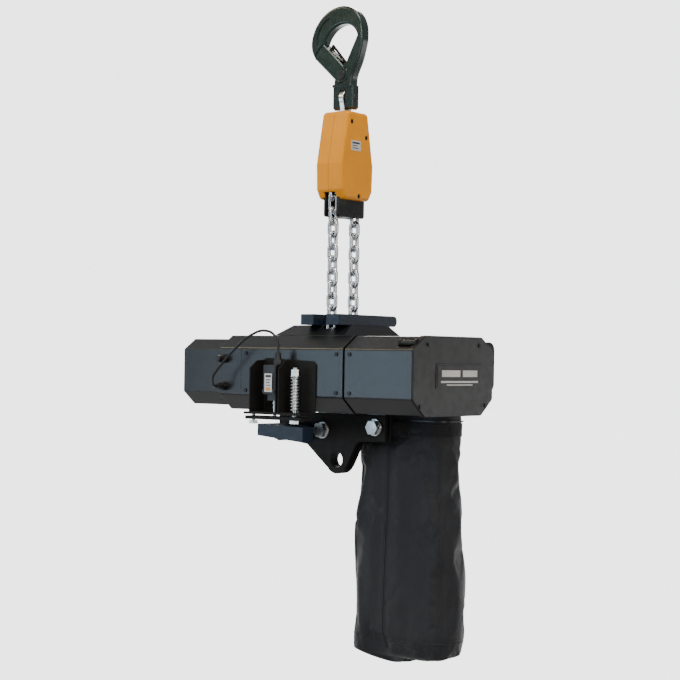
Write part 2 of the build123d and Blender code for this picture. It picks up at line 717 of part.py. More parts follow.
with BuildPart() as motor_cover:
    hollow_cover(BRAKE_SEAM_X, MOTOR_SEAM_X)
    with BuildSketch(Plane.YZ.offset(BRAKE_SEAM_X)):
        cover_profile(COVER_WALL)
        with BuildSketch(mode=Mode.PRIVATE) as opening:
            cover_profile(BRAKE_STEP + COVER_WALL + 1)
        add(opening.sketch, mode=Mode.SUBTRACT)
    extrude(amount=COVER_WALL)
motor_cover.part.label = "motor_cover"
export_step(motor_cover.part, "parts/motor_cover.step")

with BuildPart() as brake_cover:
    hollow_cover(BRAKE_END_X, BRAKE_SEAM_X - GAP, BRAKE_STEP)
    with BuildSketch(Plane.YZ.offset(BRAKE_END_X)):
        cover_profile(BRAKE_STEP + COVER_WALL)
    extrude(amount=COVER_WALL)
brake_cover.part.label = "brake_cover"
export_step(brake_cover.part, "parts/brake_cover.step")

HANDLE_X0 = 236.0
HANDLE_X1 = 280.0
HANDLE_Y = COVER_FRONT + CHAMFER_Y / 2
HANDLE_Z = COVER_TOP - CHAMFER_TOP / 2
BEND_LEAN = degrees(asin(CHAMFER_TOP / (CHAMFER_TOP**2 + CHAMFER_Y**2) ** 0.5))
FRONT_CHAMFER = Plane(
    origin=(0, HANDLE_Y, HANDLE_Z),
    x_dir=(1, 0, 0),
    z_dir=(0, -sin(radians(BEND_LEAN)), cos(radians(BEND_LEAN))),
)
REAR_HANDLE_Z = (-803.0, -712.0)
REAR_HANDLE_X = (262.0, 280.0)

with BuildPart() as control_cover:
    hollow_cover(CONTROL_X, CONTROL_END_X - COVER_WALL - GAP)
    rolled_rim(CONTROL_END_X - COVER_WALL - GAP - RIM_LENGTH, CONTROL_END_X - COVER_WALL - GAP)
    with BuildSketch(FRONT_CHAMFER):
        with Locations(((HANDLE_X0 + HANDLE_X1) / 2, 0)):
            Rectangle(HANDLE_X1 - HANDLE_X0, 30)
    extrude(amount=14, both=True, mode=Mode.SUBTRACT)
    with BuildSketch(Plane.XY.offset(COVER_BOTTOM - 5)):
        with Locations((WEB_X1 / 2, 0)):
            Rectangle(WEB_X1 + 4, 2 * PLATE_THICK + PLATE_GAP + 4)
    extrude(amount=20, mode=Mode.SUBTRACT)
control_cover.part.label = "control_cover"
export_step(control_cover.part, "parts/control_cover.step")

with BuildPart() as end_cap:
    with BuildSketch(Plane.YZ.offset(CONTROL_END_X - COVER_WALL)):
        cover_profile(-RIM_RAISE + 0.6)
    extrude(amount=COVER_WALL)
    fillet(end_cap.faces().sort_by(Axis.X)[-1].edges(), 1.5)
end_cap.part.label = "end_cap"
export_step(end_cap.part, "parts/end_cap.step")

PLATE_MID_Y = 44.0
PLATE_MID_Z = -778.0
PLATE_WIDTH = 172.0
PLATE_HEIGHT = 54.0
with BuildPart() as name_plate:
    with BuildSketch(Plane.YZ.offset(CONTROL_END_X)):
        with Locations((PLATE_MID_Y, PLATE_MID_Z)):
            RectangleRounded(PLATE_WIDTH, PLATE_HEIGHT, 2.0)
    extrude(amount=1.0)
name_plate.part.label = "name_plate"
export_step(name_plate.part, "parts/name_plate.step")

with BuildPart() as carry_handles:
    with BuildSketch(Plane(origin=(HANDLE_X0, HANDLE_Y, HANDLE_Z), x_dir=(0, 1, 0), z_dir=(1, 0, 0))):
        Circle(6.0)
    extrude(amount=HANDLE_X1 - HANDLE_X0)
    for x in (HANDLE_X0, HANDLE_X1 - 4):
        with BuildSketch(Plane(origin=(x, HANDLE_Y, HANDLE_Z), x_dir=(0, 1, 0), z_dir=(1, 0, 0))):
            Circle(8.0)
        extrude(amount=4)
    handle_x = sum(REAR_HANDLE_X) / 2
    low, high = REAR_HANDLE_Z
    with BuildLine():
        FilletPolyline(
            (handle_x, COVER_BACK + 0.2, low),
            (handle_x, COVER_BACK + 19, low),
            (handle_x, COVER_BACK + 19, high),
            (handle_x, COVER_BACK + 0.2, high),
            radius=9.0,
        )
    with BuildSketch(Plane(origin=(handle_x, COVER_BACK + 0.2, low), z_dir=(0, 1, 0))):
        RectangleRounded(18, 7, 3)
    sweep()
carry_handles.part.label = "carry_handles"
export_step(carry_handles.part, "parts/carry_handles.step")

COVER_SCREWS = [(x, z) for x in (-176.0, 82.0, 118.0) for z in (-735.0, -818.0)]
with BuildPart() as cover_screws:
    for y, out in ((COVER_FRONT, -1), (COVER_BACK, 1)):
        for x, z in COVER_SCREWS:
            with BuildSketch(Plane(origin=(x, y, z), x_dir=(1, 0, 0), z_dir=(0, out, 0))):
                Circle(4.5)
            extrude(amount=2.2)
    for y, z in ((-70, -712), (120, -712), (-96, -842), (146, -842)):
        with BuildSketch(Plane.YZ.offset(CONTROL_END_X)):
            with Locations((y, z)):
                Circle(4.5)
        extrude(amount=2.0)
cover_screws.part.label = "cover_screws"
export_step(cover_screws.part, "parts/cover_screws.step")

# ---------------------------------------------------------------- chain throat and guide rails
with BuildPart() as chain_throat:
    rise = THROAT_TOP - COVER_TOP
    slope_y = rise * CHAMFER_Y / CHAMFER_TOP
    y_low = (COVER_FRONT + CHAMFER_Y + 0.3, COVER_BACK - CHAMFER_Y - 0.3)
    y_high = (y_low[0] + slope_y, y_low[1] - slope_y)
    for z, left, right, (y0, y1) in (
        (COVER_TOP + 0.3, THROAT_LEFT - THROAT_SPLAY, THROAT_RIGHT + 10, y_low),
        (THROAT_TOP, THROAT_LEFT, THROAT_RIGHT, y_high),
    ):
        with BuildSketch(Plane.XY.offset(z)):
            with Locations(((left + right) / 2, (y0 + y1) / 2)):
                Rectangle(right - left, y1 - y0)
    loft()
    with BuildSketch(Plane.XY.offset(COVER_TOP - 4)):
        with Locations(((THROAT_LEFT + THROAT_RIGHT) / 2, (y_low[0] + y_low[1]) / 2)):
            Rectangle(THROAT_RIGHT - THROAT_LEFT - 8, y_high[1] - y_high[0] - 8)
    extrude(amount=rise, mode=Mode.SUBTRACT)
    with BuildSketch(Plane.XY.offset(COVER_TOP - 4)):
        Rectangle(CHAIN_SLOT_X, CHAIN_SLOT_Y)
    extrude(amount=60, mode=Mode.SUBTRACT)
chain_throat.part.label = "chain_throat"
export_step(chain_throat.part, "parts/chain_throat.step")

for name, side in (("guide_rail_left", -1), ("guide_rail_right", 1)):
    with BuildPart() as guide_rail:
        with BuildSketch(Plane.XY.offset(THROAT_TOP + 0.2)):
            with Locations((side * (RAIL_INNER_X + RAIL_OUTER_X) / 2, (RAIL_FRONT + RAIL_BACK) / 2)):
                Rectangle(RAIL_OUTER_X - RAIL_INNER_X, RAIL_BACK - RAIL_FRONT)
        extrude(amount=RAIL_TOP - THROAT_TOP - 0.2)
        rear = guide_rail.edges().filter_by(Axis.X).group_by(Axis.Y)[-1]
        fillet(rear, 11.0)
        chamfer(guide_rail.edges().group_by(Axis.Y)[0], 1.0)
    guide_rail.part.label = name
    export_step(guide_rail.part, f"parts/{name}.step")

# ---------------------------------------------------------------- gear housing and chain drive
HOUSING_X0 = -165.0
HOUSING_X1 = 84.0
HOUSING_Y0 = -76.0
HOUSING_Y1 = 136.0
HOUSING_TOP = -704.0
HOUSING_BOTTOM = -850.0
HOUSING_WALL = 8.0
SHAFT_R = 10.0
SECOND_Y = WHEEL_Y + GEAR_SPACING
FIRST_STAGE_X = (-150.0, -132.0)
SECOND_STAGE_X = (-120.0, -100.0)

with BuildPart() as gear_housing:
    with BuildSketch(Plane.YZ.offset(HOUSING_X0)):
        with Locations(((HOUSING_Y0 + HOUSING_Y1) / 2, (HOUSING_TOP + HOUSING_BOTTOM) / 2)):
            RectangleRounded(HOUSING_Y1 - HOUSING_Y0, HOUSING_TOP - HOUSING_BOTTOM, 22.0)
    extrude(amount=HOUSING_X1 - HOUSING_X0)
    with BuildSketch(Plane.YZ.offset(HOUSING_X0 + HOUSING_WALL)):
        with Locations(((HOUSING_Y0 + HOUSING_Y1) / 2, (HOUSING_TOP + HOUSING_BOTTOM) / 2)):
            RectangleRounded(
                HOUSING_Y1 - HOUSING_Y0 - 2 * HOUSING_WALL,
                HOUSING_TOP - HOUSING_BOTTOM - 2 * HOUSING_WALL,
                14.0,
            )
    extrude(amount=HOUSING_X1 - HOUSING_X0 - 2 * HOUSING_WALL, mode=Mode.SUBTRACT)
    with BuildSketch(Plane.YZ.offset(HOUSING_X0)):
        with Locations((WHEEL_Y, WHEEL_Z)):
            Circle(22.0)
    extrude(amount=HOUSING_WALL, mode=Mode.SUBTRACT)
    with BuildSketch(Plane.XY.offset(HOUSING_TOP - HOUSING_WALL - 1)):
        Rectangle(CHAIN_SLOT_X, CHAIN_SLOT_Y)
    extrude(amount=20, mode=Mode.SUBTRACT)
    with BuildSketch(Plane.XY.offset(HOUSING_BOTTOM - 1)):
        with Locations((0, WHEEL_Y + WHEEL_PITCH_R)):
            Rectangle(CHAIN_SLOT_X, 34)
    extrude(amount=20, mode=Mode.SUBTRACT)
    with BuildSketch(Plane.YZ.offset(-26.5)):
        with Locations((FALL_Y, ANCHOR_Z)):
            Circle(4.1)
    extrude(amount=53, mode=Mode.SUBTRACT)
    with BuildSketch(Plane.XZ):
        with BuildLine():
            Polyline(
                (-62, HOUSING_BOTTOM + 4),
                (WEB_X1 - 8, HOUSING_BOTTOM + 4),
                (WEB_X1 - 8, -915),
                (-62, -926),
                close=True,
            )
        make_face()
        with Locations(*BOLT_POINTS):
            Circle(BOLT_R + 0.1, mode=Mode.SUBTRACT)
    extrude(amount=PLATE_GAP / 2, both=True)
gear_housing.part.label = "gear_housing"
export_step(gear_housing.part, "parts/gear_housing.step")

WHEEL_SEAT_R = WHEEL_PITCH_R - CHAIN_WIRE / 2 - 0.8
WHEEL_SLOT_R = WHEEL_PITCH_R - CHAIN_WIDTH / 2 - 0.8
with BuildPart() as chain_wheel:
    with BuildSketch(Plane(origin=(0, WHEEL_Y, WHEEL_Z), x_dir=(1, 0, 0), z_dir=(0, -1, 0))):
        grooved_wheel_section(WHEEL_PITCH_R + 8, SHAFT_R + 2, WHEEL_SEAT_R, WHEEL_SLOT_R, 22.0)
    revolve(axis=Axis((0, WHEEL_Y, WHEEL_Z), (1, 0, 0)))
    with BuildSketch(Plane.YZ.offset(-CHAIN_WIDTH / 2 - 0.8)):
        with Locations((WHEEL_Y, WHEEL_Z)):
            with PolarLocations(WHEEL_PITCH_R + 1, 10):
                Circle(8.0)
    extrude(amount=CHAIN_WIDTH + 1.6, mode=Mode.SUBTRACT)
    with BuildSketch(Plane.YZ.offset(-126)):
        with Locations((WHEEL_Y, WHEEL_Z)):
            Circle(SHAFT_R)
    extrude(amount=200)
    with BuildSketch(Plane.YZ.offset(-22)):
        with Locations((WHEEL_Y, WHEEL_Z)):
            Circle(SHAFT_R + 2)
    extrude(amount=44)
chain_wheel.part.label = "chain_wheel"
export_step(chain_wheel.part, "parts/chain_wheel.step")


def gear_on(plane_x, y, length, teeth, turn, bore):
    """Adds a gear whose axle lies along X, from plane_x on."""
    face = Plane(origin=(plane_x, y, WHEEL_Z), x_dir=(0, 1, 0), z_dir=(1, 0, 0))
    with BuildSketch(face, mode=Mode.PRIVATE) as section:
        gear_profile(teeth, turn)
        if bore:
            Circle(bore, mode=Mode.SUBTRACT)
    extrude(section.sketch, amount=length)


with BuildPart() as output_gear:
    gear_on(SECOND_STAGE_X[0], WHEEL_Y, 20, OUTPUT_TEETH, 180 / OUTPUT_TEETH, SHAFT_R)
    with BuildSketch(Plane.YZ.offset(SECOND_STAGE_X[0])):
        with Locations((WHEEL_Y, WHEEL_Z)):
            with PolarLocations(31.0, 6):
                Circle(9.0)
    extrude(amount=20, mode=Mode.SUBTRACT)
output_gear.part.label = "output_gear"
export_step(output_gear.part, "parts/output_gear.step")

with BuildPart() as intermediate_gear:
    gear_on(FIRST_STAGE_X[0], SECOND_Y, 18, SECOND_TEETH, 180 / SECOND_TEETH, 0)
    gear_on(FIRST_STAGE_X[1], SECOND_Y, SECOND_STAGE_X[1] - FIRST_STAGE_X[1], THIRD_TEETH, 0, 0)
    for x0, x1 in ((HOUSING_X0 + HOUSING_WALL + 0.5, FIRST_STAGE_X[0]), (SECOND_STAGE_X[1], -86)):
        with BuildSketch(Plane.YZ.offset(x0)):
            with Locations((SECOND_Y, WHEEL_Z)):
                Circle(8.0)
        extrude(amount=x1 - x0)
intermediate_gear.part.label = "intermediate_gear"
export_step(intermediate_gear.part, "parts/intermediate_gear.step")

with BuildPart() as rotor:
    with BuildSketch(Plane.YZ.offset(-366)):
        with Locations((WHEEL_Y, WHEEL_Z)):
            Circle(8.0)
    extrude(amount=366 + FIRST_STAGE_X[1])
    with BuildSketch(Plane.YZ.offset(MOTOR_X0 + 25)):
        with Locations((WHEEL_Y, WHEEL_Z)):
            Circle(ROTOR_R)
    extrude(amount=MOTOR_X1 - MOTOR_X0 - 50)
    gear_on(FIRST_STAGE_X[0], WHEEL_Y, 18, PINION_TEETH, 0, 0)
rotor.part.label = "rotor"
export_step(rotor.part, "parts/rotor.step")

with BuildPart() as stator:
    with BuildSketch(Plane.YZ.offset(MOTOR_X0 + 20)):
        with Locations((WHEEL_Y, WHEEL_Z)):
            Circle(STATOR_R)
            Circle(ROTOR_R + 0.6, mode=Mode.SUBTRACT)
    extrude(amount=MOTOR_X1 - MOTOR_X0 - 40)
    for x0 in (MOTOR_X0 + 8, MOTOR_X1 - 20):
        with BuildSketch(Plane.YZ.offset(x0)):
            with Locations((WHEEL_Y, WHEEL_Z)):
                Circle(STATOR_R - 8)
                Circle(ROTOR_R + 4, mode=Mode.SUBTRACT)
        extrude(amount=12)
stator.part.label = "stator"
export_step(stator.part, "parts/stator.step")

with BuildPart() as bearings:
    for x0, y, bore, outer in (
        (-345, WHEEL_Y, 8.0, 20.0),
        (MOTOR_X1 - 2, WHEEL_Y, 8.0, 20.0),
        (-126, WHEEL_Y, SHAFT_R, 21.0),
        (62, WHEEL_Y, SHAFT_R, 24.0),
        (-97, SECOND_Y, 8.0, 18.0),
    ):
        for r0, r1 in ((bore + 0.05, bore + 3), (outer - 3, outer)):
            with BuildSketch(Plane.YZ.offset(x0)):
                with Locations((y, WHEEL_Z)):
                    Circle(r1)
                    Circle(r0, mode=Mode.SUBTRACT)
            extrude(amount=5)
        with BuildSketch(Plane.YZ.offset(x0 + 1.5)):
            with Locations((y, WHEEL_Z)):
                Circle(outer - 3)
                Circle(bore + 3, mode=Mode.SUBTRACT)
        extrude(amount=2)
bearings.part.label = "bearings"
export_step(bearings.part, "parts/bearings.step")

with BuildPart() as brake_disc:
    with BuildSketch(Plane.YZ.offset(-358)):
        with Locations((WHEEL_Y, WHEEL_Z)):
            Circle(48.0)
            Circle(8.0, mode=Mode.SUBTRACT)
    extrude(amount=6)
brake_disc.part.label = "brake_disc"
export_step(brake_disc.part, "parts/brake_disc.step")

with BuildPart() as brake_coil:
    with BuildSketch(Plane.YZ.offset(-351)):
        with Locations((WHEEL_Y, WHEEL_Z)):
            Circle(54.0)
            Circle(21.0, mode=Mode.SUBTRACT)
    extrude(amount=15)
    with BuildSketch(Plane.YZ.offset(-369)):
        with Locations((WHEEL_Y, WHEEL_Z)):
            with PolarLocations(51.0, 3):
                Circle(2.0)
    extrude(amount=20)
brake_coil.part.label = "brake_coil"
export_step(brake_coil.part, "parts/brake_coil.step")

with BuildPart() as chain_anchor_pin:
    with BuildSketch(Plane.YZ.offset(-26)):
        with Locations((FALL_Y, ANCHOR_Z)):
            Circle(4.0)
    extrude(amount=52)
chain_anchor_pin.part.label = "chain_anchor_pin"
export_step(chain_anchor_pin.part, "parts/chain_anchor_pin.step")

# ---------------------------------------------------------------- controls
with BuildPart() as control_electronics:
    with BuildSketch(Plane.XZ.offset(-60)):
        with Locations((192, -778)):
            RectangleRounded(164, 132, 5)
    extrude(amount=3)
    for k in range(3):
        for y, wide, high, deep in ((-56.8, 42, 62, 56), (-0.6, 30, 30, 12)):
            with BuildSketch(Plane.XZ.offset(y)):
                with Locations((138 + 48 * k, -748)):
                    RectangleRounded(wide, high, 2)
            extrude(amount=deep)
    for y, wide, high, deep in ((-56.8, 74, 50, 48), (-50, 46, 60, 34)):
        with BuildSketch(Plane.XZ.offset(y)):
            with Locations((168, -812)):
                Rectangle(wide, high)
        extrude(amount=deep)
control_electronics.part.label = "control_electronics"
export_step(control_electronics.part, "parts/control_electronics.step")

# ---------------------------------------------------------------- suspension plates
PLATE_OUT = PLATE_GAP / 2 + PLATE_THICK


def plate_outline():
    """Fills the open sketch with the suspension plate, with its eye and bolt holes."""
    with BuildSketch(mode=Mode.PRIVATE) as outline:
        with BuildLine():
            Polyline(
                (-168, -866.5),
                (WEB_X1 + 4, -866.5),
                (WEB_X1 + 4, -924),
                (62, -926),
                (53, -934),
                (27.5, -983),
                (-26.5, -985),
                (-84, -937),
                (-100, -935),
                (-108, -928),
                (-168, -925),
                close=True,
            )
        make_face()
        with Locations((0, EYE_Z)):
            Circle(31.0)
            Circle(EYE_R + 2.5, mode=Mode.SUBTRACT)
        with Locations(*BOLT_POINTS):
            Circle(BOLT_R + 0.1, mode=Mode.SUBTRACT)
    add(outline.sketch)


for name, y0 in (("suspension_plate_front", -PLATE_OUT), ("suspension_plate_rear", PLATE_GAP / 2)):
    with BuildPart() as plate:
        with BuildSketch(Plane.XZ.offset(-y0)):
            plate_outline()
        extrude(amount=-PLATE_THICK)
        outer_edges = plate.edges().filter_by(lambda e: abs(e.center().Z - EYE_Z) > 30 and e.length > 25)
        chamfer(outer_edges.filter_by(Axis.Y, reverse=True), 0.8)
    plate.part.label = name
    export_step(plate.part, f"parts/{name}.step")

with BuildPart() as suspension_bush:
    with BuildSketch(Plane.XZ.offset(PLATE_OUT)):
        with Locations((0, EYE_Z)):
            Circle(EYE_R + 2.5)
            Circle(EYE_R, mode=Mode.SUBTRACT)
    extrude(amount=-2 * PLATE_OUT)
suspension_bush.part.label = "suspension_bush"
export_step(suspension_bush.part, "parts/suspension_bush.step")

with BuildPart() as suspension_bolts:
    for point in BOLT_POINTS:
        with BuildSketch(Plane.XZ.offset(PLATE_OUT + 3)):
            with Locations(point):
                RegularPolygon(17.3, 6)
        extrude(amount=12.5)
        with BuildSketch(Plane.XZ.offset(PLATE_OUT + 3.5)):
            with Locations(point):
                Circle(BOLT_R)
        extrude(amount=-2 * PLATE_OUT - 18.5)
    chamfer(suspension_bolts.faces().sort_by(Axis.Y)[0].edges(), 1.2)
suspension_bolts.part.label = "suspension_bolts"
export_step(suspension_bolts.part, "parts/suspension_bolts.step")

with BuildPart() as suspension_nuts:
    for point in BOLT_POINTS:
        with BuildSketch(Plane.XZ.offset(PLATE_OUT)):
            with Locations(point):
                Circle(18.5)
                Circle(BOLT_R + 0.1, mode=Mode.SUBTRACT)
        extrude(amount=3)
        with BuildSketch(Plane.XZ.offset(-PLATE_OUT)):
            with Locations(point):
                Circle(18.5)
                Circle(BOLT_R + 0.1, mode=Mode.SUBTRACT)
        extrude(amount=-3)
        with BuildSketch(Plane.XZ.offset(-PLATE_OUT - 3)):
            with Locations(point):
                RegularPolygon(17.3, 6)
                Circle(BOLT_R + 0.1, mode=Mode.SUBTRACT)
        extrude(amount=-10)
suspension_nuts.part.label = "suspension_nuts"
export_step(suspension_nuts.part, "parts/suspension_nuts.step")

# ---------------------------------------------------------------- overload switch
PANEL = 3.0
LEVER_X0 = -136.0
LEVER_X1 = 25.0
SHELF_TOP = SHELF_Z

with BuildPart() as switch_bracket:
    with BuildSketch(Plane.XZ.offset(-COVER_FRONT + 0.3)):
        with BuildLine():
            Polyline(
                (BRACKET_X0, BRACKET_TOP - 4),
                (BRACKET_X0 + 8, BRACKET_TOP),
                (BRACKET_X1 - 8, BRACKET_TOP - 6),
                (BRACKET_X1, BRACKET_TOP - 14),
                (BRACKET_X1, SHELF_TOP),
                (BRACKET_X0, SHELF_TOP),
                close=True,
            )
        make_face()
    extrude(amount=PANEL)
    for x, front in ((BRACKET_X0, BRACKET_FRONT), (PARTITION_X, BRACKET_FRONT + 4)):
        with BuildSketch(Plane.YZ.offset(x)):
            with BuildLine():
                Polyline(
                    (COVER_FRONT - 0.3, BRACKET_TOP - 4),
                    (front + 22, BRACKET_TOP - 6),
                    (front, BRACKET_TOP - 22),
                    (front, SHELF_TOP - 0.1),
                    (COVER_FRONT - 0.3, SHELF_TOP - 0.1),
                    close=True,
                )
            make_face()
        extrude(amount=PANEL)
    with BuildSketch(Plane.XY.offset(SHELF_TOP)):
        with Locations(((LEVER_X0 + LEVER_X1) / 2, (COVER_FRONT - 0.3 + BRACKET_FRONT) / 2)):
            Rectangle(LEVER_X1 - LEVER_X0, COVER_FRONT - 0.3 - BRACKET_FRONT)
        with Locations((SPRING_X, SPRING_Y)):
            Circle(6.4, mode=Mode.SUBTRACT)
        with Locations((SWITCH_X + 4, SWITCH_Y)):
            Circle(6.0, mode=Mode.SUBTRACT)
        with Locations((LEVER_PIVOT_X, SPRING_Y)):
            Circle(4.1, mode=Mode.SUBTRACT)
    extrude(amount=-5)
switch_bracket.part.label = "switch_bracket"
export_step(switch_bracket.part, "parts/switch_bracket.step")

SWITCH_TOP = -760.0
SWITCH_LOW = -838.0
with BuildPart() as limit_switch:
    with BuildSketch(Plane.XY.offset(SWITCH_TOP)):
        with Locations((SWITCH_X, SWITCH_Y)):
            RectangleRounded(37, 32, 3)
    extrude(amount=SWITCH_LOW + 14 - SWITCH_TOP)
    with BuildSketch(Plane.XY.offset(SWITCH_LOW + 14)):
        with Locations((SWITCH_X + 4, SWITCH_Y)):
            RectangleRounded(26, 24, 3)
            Circle(4.2, mode=Mode.SUBTRACT)
    extrude(amount=-14)
    with BuildSketch(Plane.XZ.offset(-SWITCH_Y + 16)):
        with Locations((SWITCH_X - 13, SWITCH_LOW + 21), (SWITCH_X + 13, SWITCH_LOW + 21)):
            Circle(4.6, mode=Mode.ADD)
    extrude(amount=2.4)
    chamfer(limit_switch.faces().filter_by(Axis.Z).sort_by(Axis.Z)[-1].edges(), 1.5)
limit_switch.part.label = "limit_switch"
export_step(limit_switch.part, "parts/limit_switch.step")

with BuildPart() as switch_plunger:
    with BuildSketch(Plane.XY.offset(SWITCH_LOW + 10)):
        with Locations((SWITCH_X + 4, SWITCH_Y)):
            Circle(3.8)
    extrude(amount=LEVER_TOP + 0.4 - SWITCH_LOW - 10)
    with BuildSketch(Plane.XY.offset(SWITCH_LOW - 3)):
        with Locations((SWITCH_X + 4, SWITCH_Y)):
            Circle(5.4)
    extrude(amount=-3)
switch_plunger.part.label = "switch_plunger"
export_step(switch_plunger.part, "parts/switch_plunger.step")

CABLE_START = CABLE_ROUTE[0]
CABLE_END = CABLE_ROUTE[-1]
with BuildPart() as cable_glands:
    with BuildSketch(Plane.XY.offset(SWITCH_TOP + 0.1)):
        with Locations(CABLE_START[:2]):
            RegularPolygon(9.5, 6)
    extrude(amount=11)
    with BuildSketch(Plane.XY.offset(SWITCH_TOP + 11.1)):
        with Locations(CABLE_START[:2]):
            Circle(8.0)
    extrude(amount=CABLE_START[2] - SWITCH_TOP - 11.1, taper=8)
    for z in (CABLE_END[2], CABLE_END[2] + 62):
        with BuildSketch(Plane.XZ.offset(-COVER_FRONT + 0.1)):
            with Locations((CABLE_END[0], z)):
                RegularPolygon(10.5, 6)
        extrude(amount=9)
        with BuildSketch(Plane.XZ.offset(-COVER_FRONT + 9.1)):
            with Locations((CABLE_END[0], z)):
                Circle(9.0)
        extrude(amount=-CABLE_END[1] + COVER_FRONT - 9.1, taper=8)
cable_glands.part.label = "cable_glands"
export_step(cable_glands.part, "parts/cable_glands.step")


def corner_radii(route):
    """Gives each corner of a cord's route its largest even arc, and prints them."""
    radii = []
    points = [Vector(*p) for p in route]
    for a, b, c in zip(points, points[1:], points[2:]):
        turn = (b - a).get_angle(c - b)
        radii.append(0.45 * min((b - a).length, (c - b).length) / tan(radians(turn) / 2))
    print("cable arc radii, mm:", [round(r, 1) for r in radii])
    return radii


with BuildPart() as switch_cable:
    with BuildLine() as cable_line:
        FilletPolyline(*CABLE_ROUTE, radius=corner_radii(CABLE_ROUTE))
    with BuildSketch(Plane.XY.offset(CABLE_START[2]).move(Location((CABLE_START[0], CABLE_START[1], 0)))):
        Circle(CABLE_R)
    sweep()
cable_length = sum(edge.length for edge in cable_line.edges())
cable_volume = cable_length * pi * CABLE_R**2
print("cable length", round(cable_length, 1), "volume ratio", switch_cable.part.volume / cable_volume)
switch_cable.part.label = "switch_cable"
export_step(switch_cable.part, "parts/switch_cable.step")

LEVER_LOW = LEVER_TOP - LEVER_THICK
with BuildPart() as load_lever:
    with BuildSketch(Plane.XY.offset(LEVER_TOP)):
        with Locations(((LEVER_X0 + LEVER_X1) / 2, (COVER_FRONT + BRACKET_FRONT) / 2 - 1)):
            Rectangle(LEVER_X1 - LEVER_X0, 44)
        with Locations((SPRING_X, SPRING_Y)):
            Circle(6.4, mode=Mode.SUBTRACT)
        with Locations((LEVER_PIVOT_X, SPRING_Y)):
            Circle(5.2, mode=Mode.SUBTRACT)
    extrude(amount=-LEVER_THICK)
    corners = load_lever.edges().filter_by(Axis.Z)
    corners = corners.filter_by(lambda e: abs(e.center().X) > 20 and abs(e.center().Y - SPRING_Y) > 12)
    chamfer(corners, 3.0)
load_lever.part.label = "load_lever"
export_step(load_lever.part, "parts/load_lever.step")

LEVER_BLOCK_X1 = 30.0
with BuildPart() as lever_block:
    for front, depth, right in ((168.0, 36.0, LEVER_BLOCK_X1), (132.0, 117.8, -68.0)):
        with BuildSketch(Plane.XZ.offset(front)):
            with BuildLine():
                Polyline(
                    (-98, LEVER_LOW - 9.5), (right, LEVER_LOW - 14), (right, -925), (-98, -914), close=True
                )
            make_face()
        extrude(amount=-depth)
    with BuildSketch(Plane.XY.offset(LEVER_LOW - 30)):
        with Locations((SPRING_X, SPRING_Y), (SWITCH_X + 4, SWITCH_Y)):
            Circle(13.0)
    extrude(amount=40, mode=Mode.SUBTRACT)
lever_block.part.label = "lever_block"
export_step(lever_block.part, "parts/lever_block.step")

NUT_Z = -783.0
with BuildPart() as spring_bolt:
    with BuildSketch(Plane.XY.offset(LEVER_LOW - 0.3)):
        with Locations((SPRING_X, SPRING_Y)):
            RegularPolygon(11.0, 6)
    extrude(amount=-7.5)
    with BuildSketch(Plane.XY.offset(LEVER_LOW - 0.4)):
        with Locations((SPRING_X, SPRING_Y)):
            Circle(4.9)
    extrude(amount=NUT_Z + 18 - LEVER_LOW)
    for z, thick in ((NUT_Z, 8), (NUT_Z + 8.6, 5)):
        with BuildSketch(Plane.XY.offset(z)):
            with Locations((SPRING_X, SPRING_Y)):
                RegularPolygon(9.2, 6)
        extrude(amount=thick)
    with BuildSketch(Plane.XY.offset(NUT_Z - 2.4)):
        with Locations((SPRING_X, SPRING_Y)):
            Circle(11.5)
    extrude(amount=2.0)
spring_bolt.part.label = "spring_bolt"
export_step(spring_bolt.part, "parts/spring_bolt.step")

SPRING_TOP = NUT_Z - 2.6
SPRING_LOW = SHELF_TOP + 0.3
SPRING_TURNS = 11
SPRING_WIRE_R = 1.7
with BuildPart() as overload_spring:
    spring_height = SPRING_TOP - SPRING_LOW - 2 * SPRING_WIRE_R
    spring_r = 8.6
    with BuildLine():
        coil = Helix(
            spring_height / SPRING_TURNS,
            spring_height,
            spring_r,
            center=(SPRING_X, SPRING_Y, SPRING_LOW + SPRING_WIRE_R),
        )
    with BuildSketch(Plane(origin=coil @ 0, z_dir=coil % 0)):
        Circle(SPRING_WIRE_R)
    sweep(path=coil, is_frenet=True)
overload_spring.part.label = "overload_spring"
export_step(overload_spring.part, "parts/overload_spring.step")

with BuildPart() as lever_fasteners:
    for z, width, thick in ((SHELF_TOP + 0.1, 6.3, 5.0), (LEVER_LOW - 10.5, 10.0, 7.0)):
        with BuildSketch(Plane.XY.offset(z)):
            with Locations((LEVER_PIVOT_X, SPRING_Y)):
                RegularPolygon(width, 6)
        extrude(amount=thick)
    with BuildSketch(Plane.XY.offset(LEVER_LOW - 5)):
        with Locations((LEVER_PIVOT_X, SPRING_Y)):
            Circle(4.0)
    extrude(amount=SHELF_TOP + 3 - LEVER_LOW)
lever_fasteners.part.label = "lever_fasteners"
export_step(lever_fasteners.part, "parts/lever_fasteners.step")

# ---------------------------------------------------------------- chain bag
BAG_X = (BAG_X0 + BAG_X1) / 2
BAG_Y = (BAG_Y0 + BAG_Y1) / 2
with BuildPart() as chain_bag:
    with BuildSketch(Plane.XY.offset(BAG_TOP)):
        with Locations((BAG_X, BAG_Y)):
            RectangleRounded(BAG_X1 - BAG_X0, BAG_Y1 - BAG_Y0, BAG_CORNER)
    extrude(amount=BAG_BOTTOM - BAG_TOP)
    fillet(chain_bag.faces().sort_by(Axis.Z)[0].edges(), 16.0)
chain_bag.part.label = "chain_bag"
export_step(chain_bag.part, "parts/chain_bag.step")

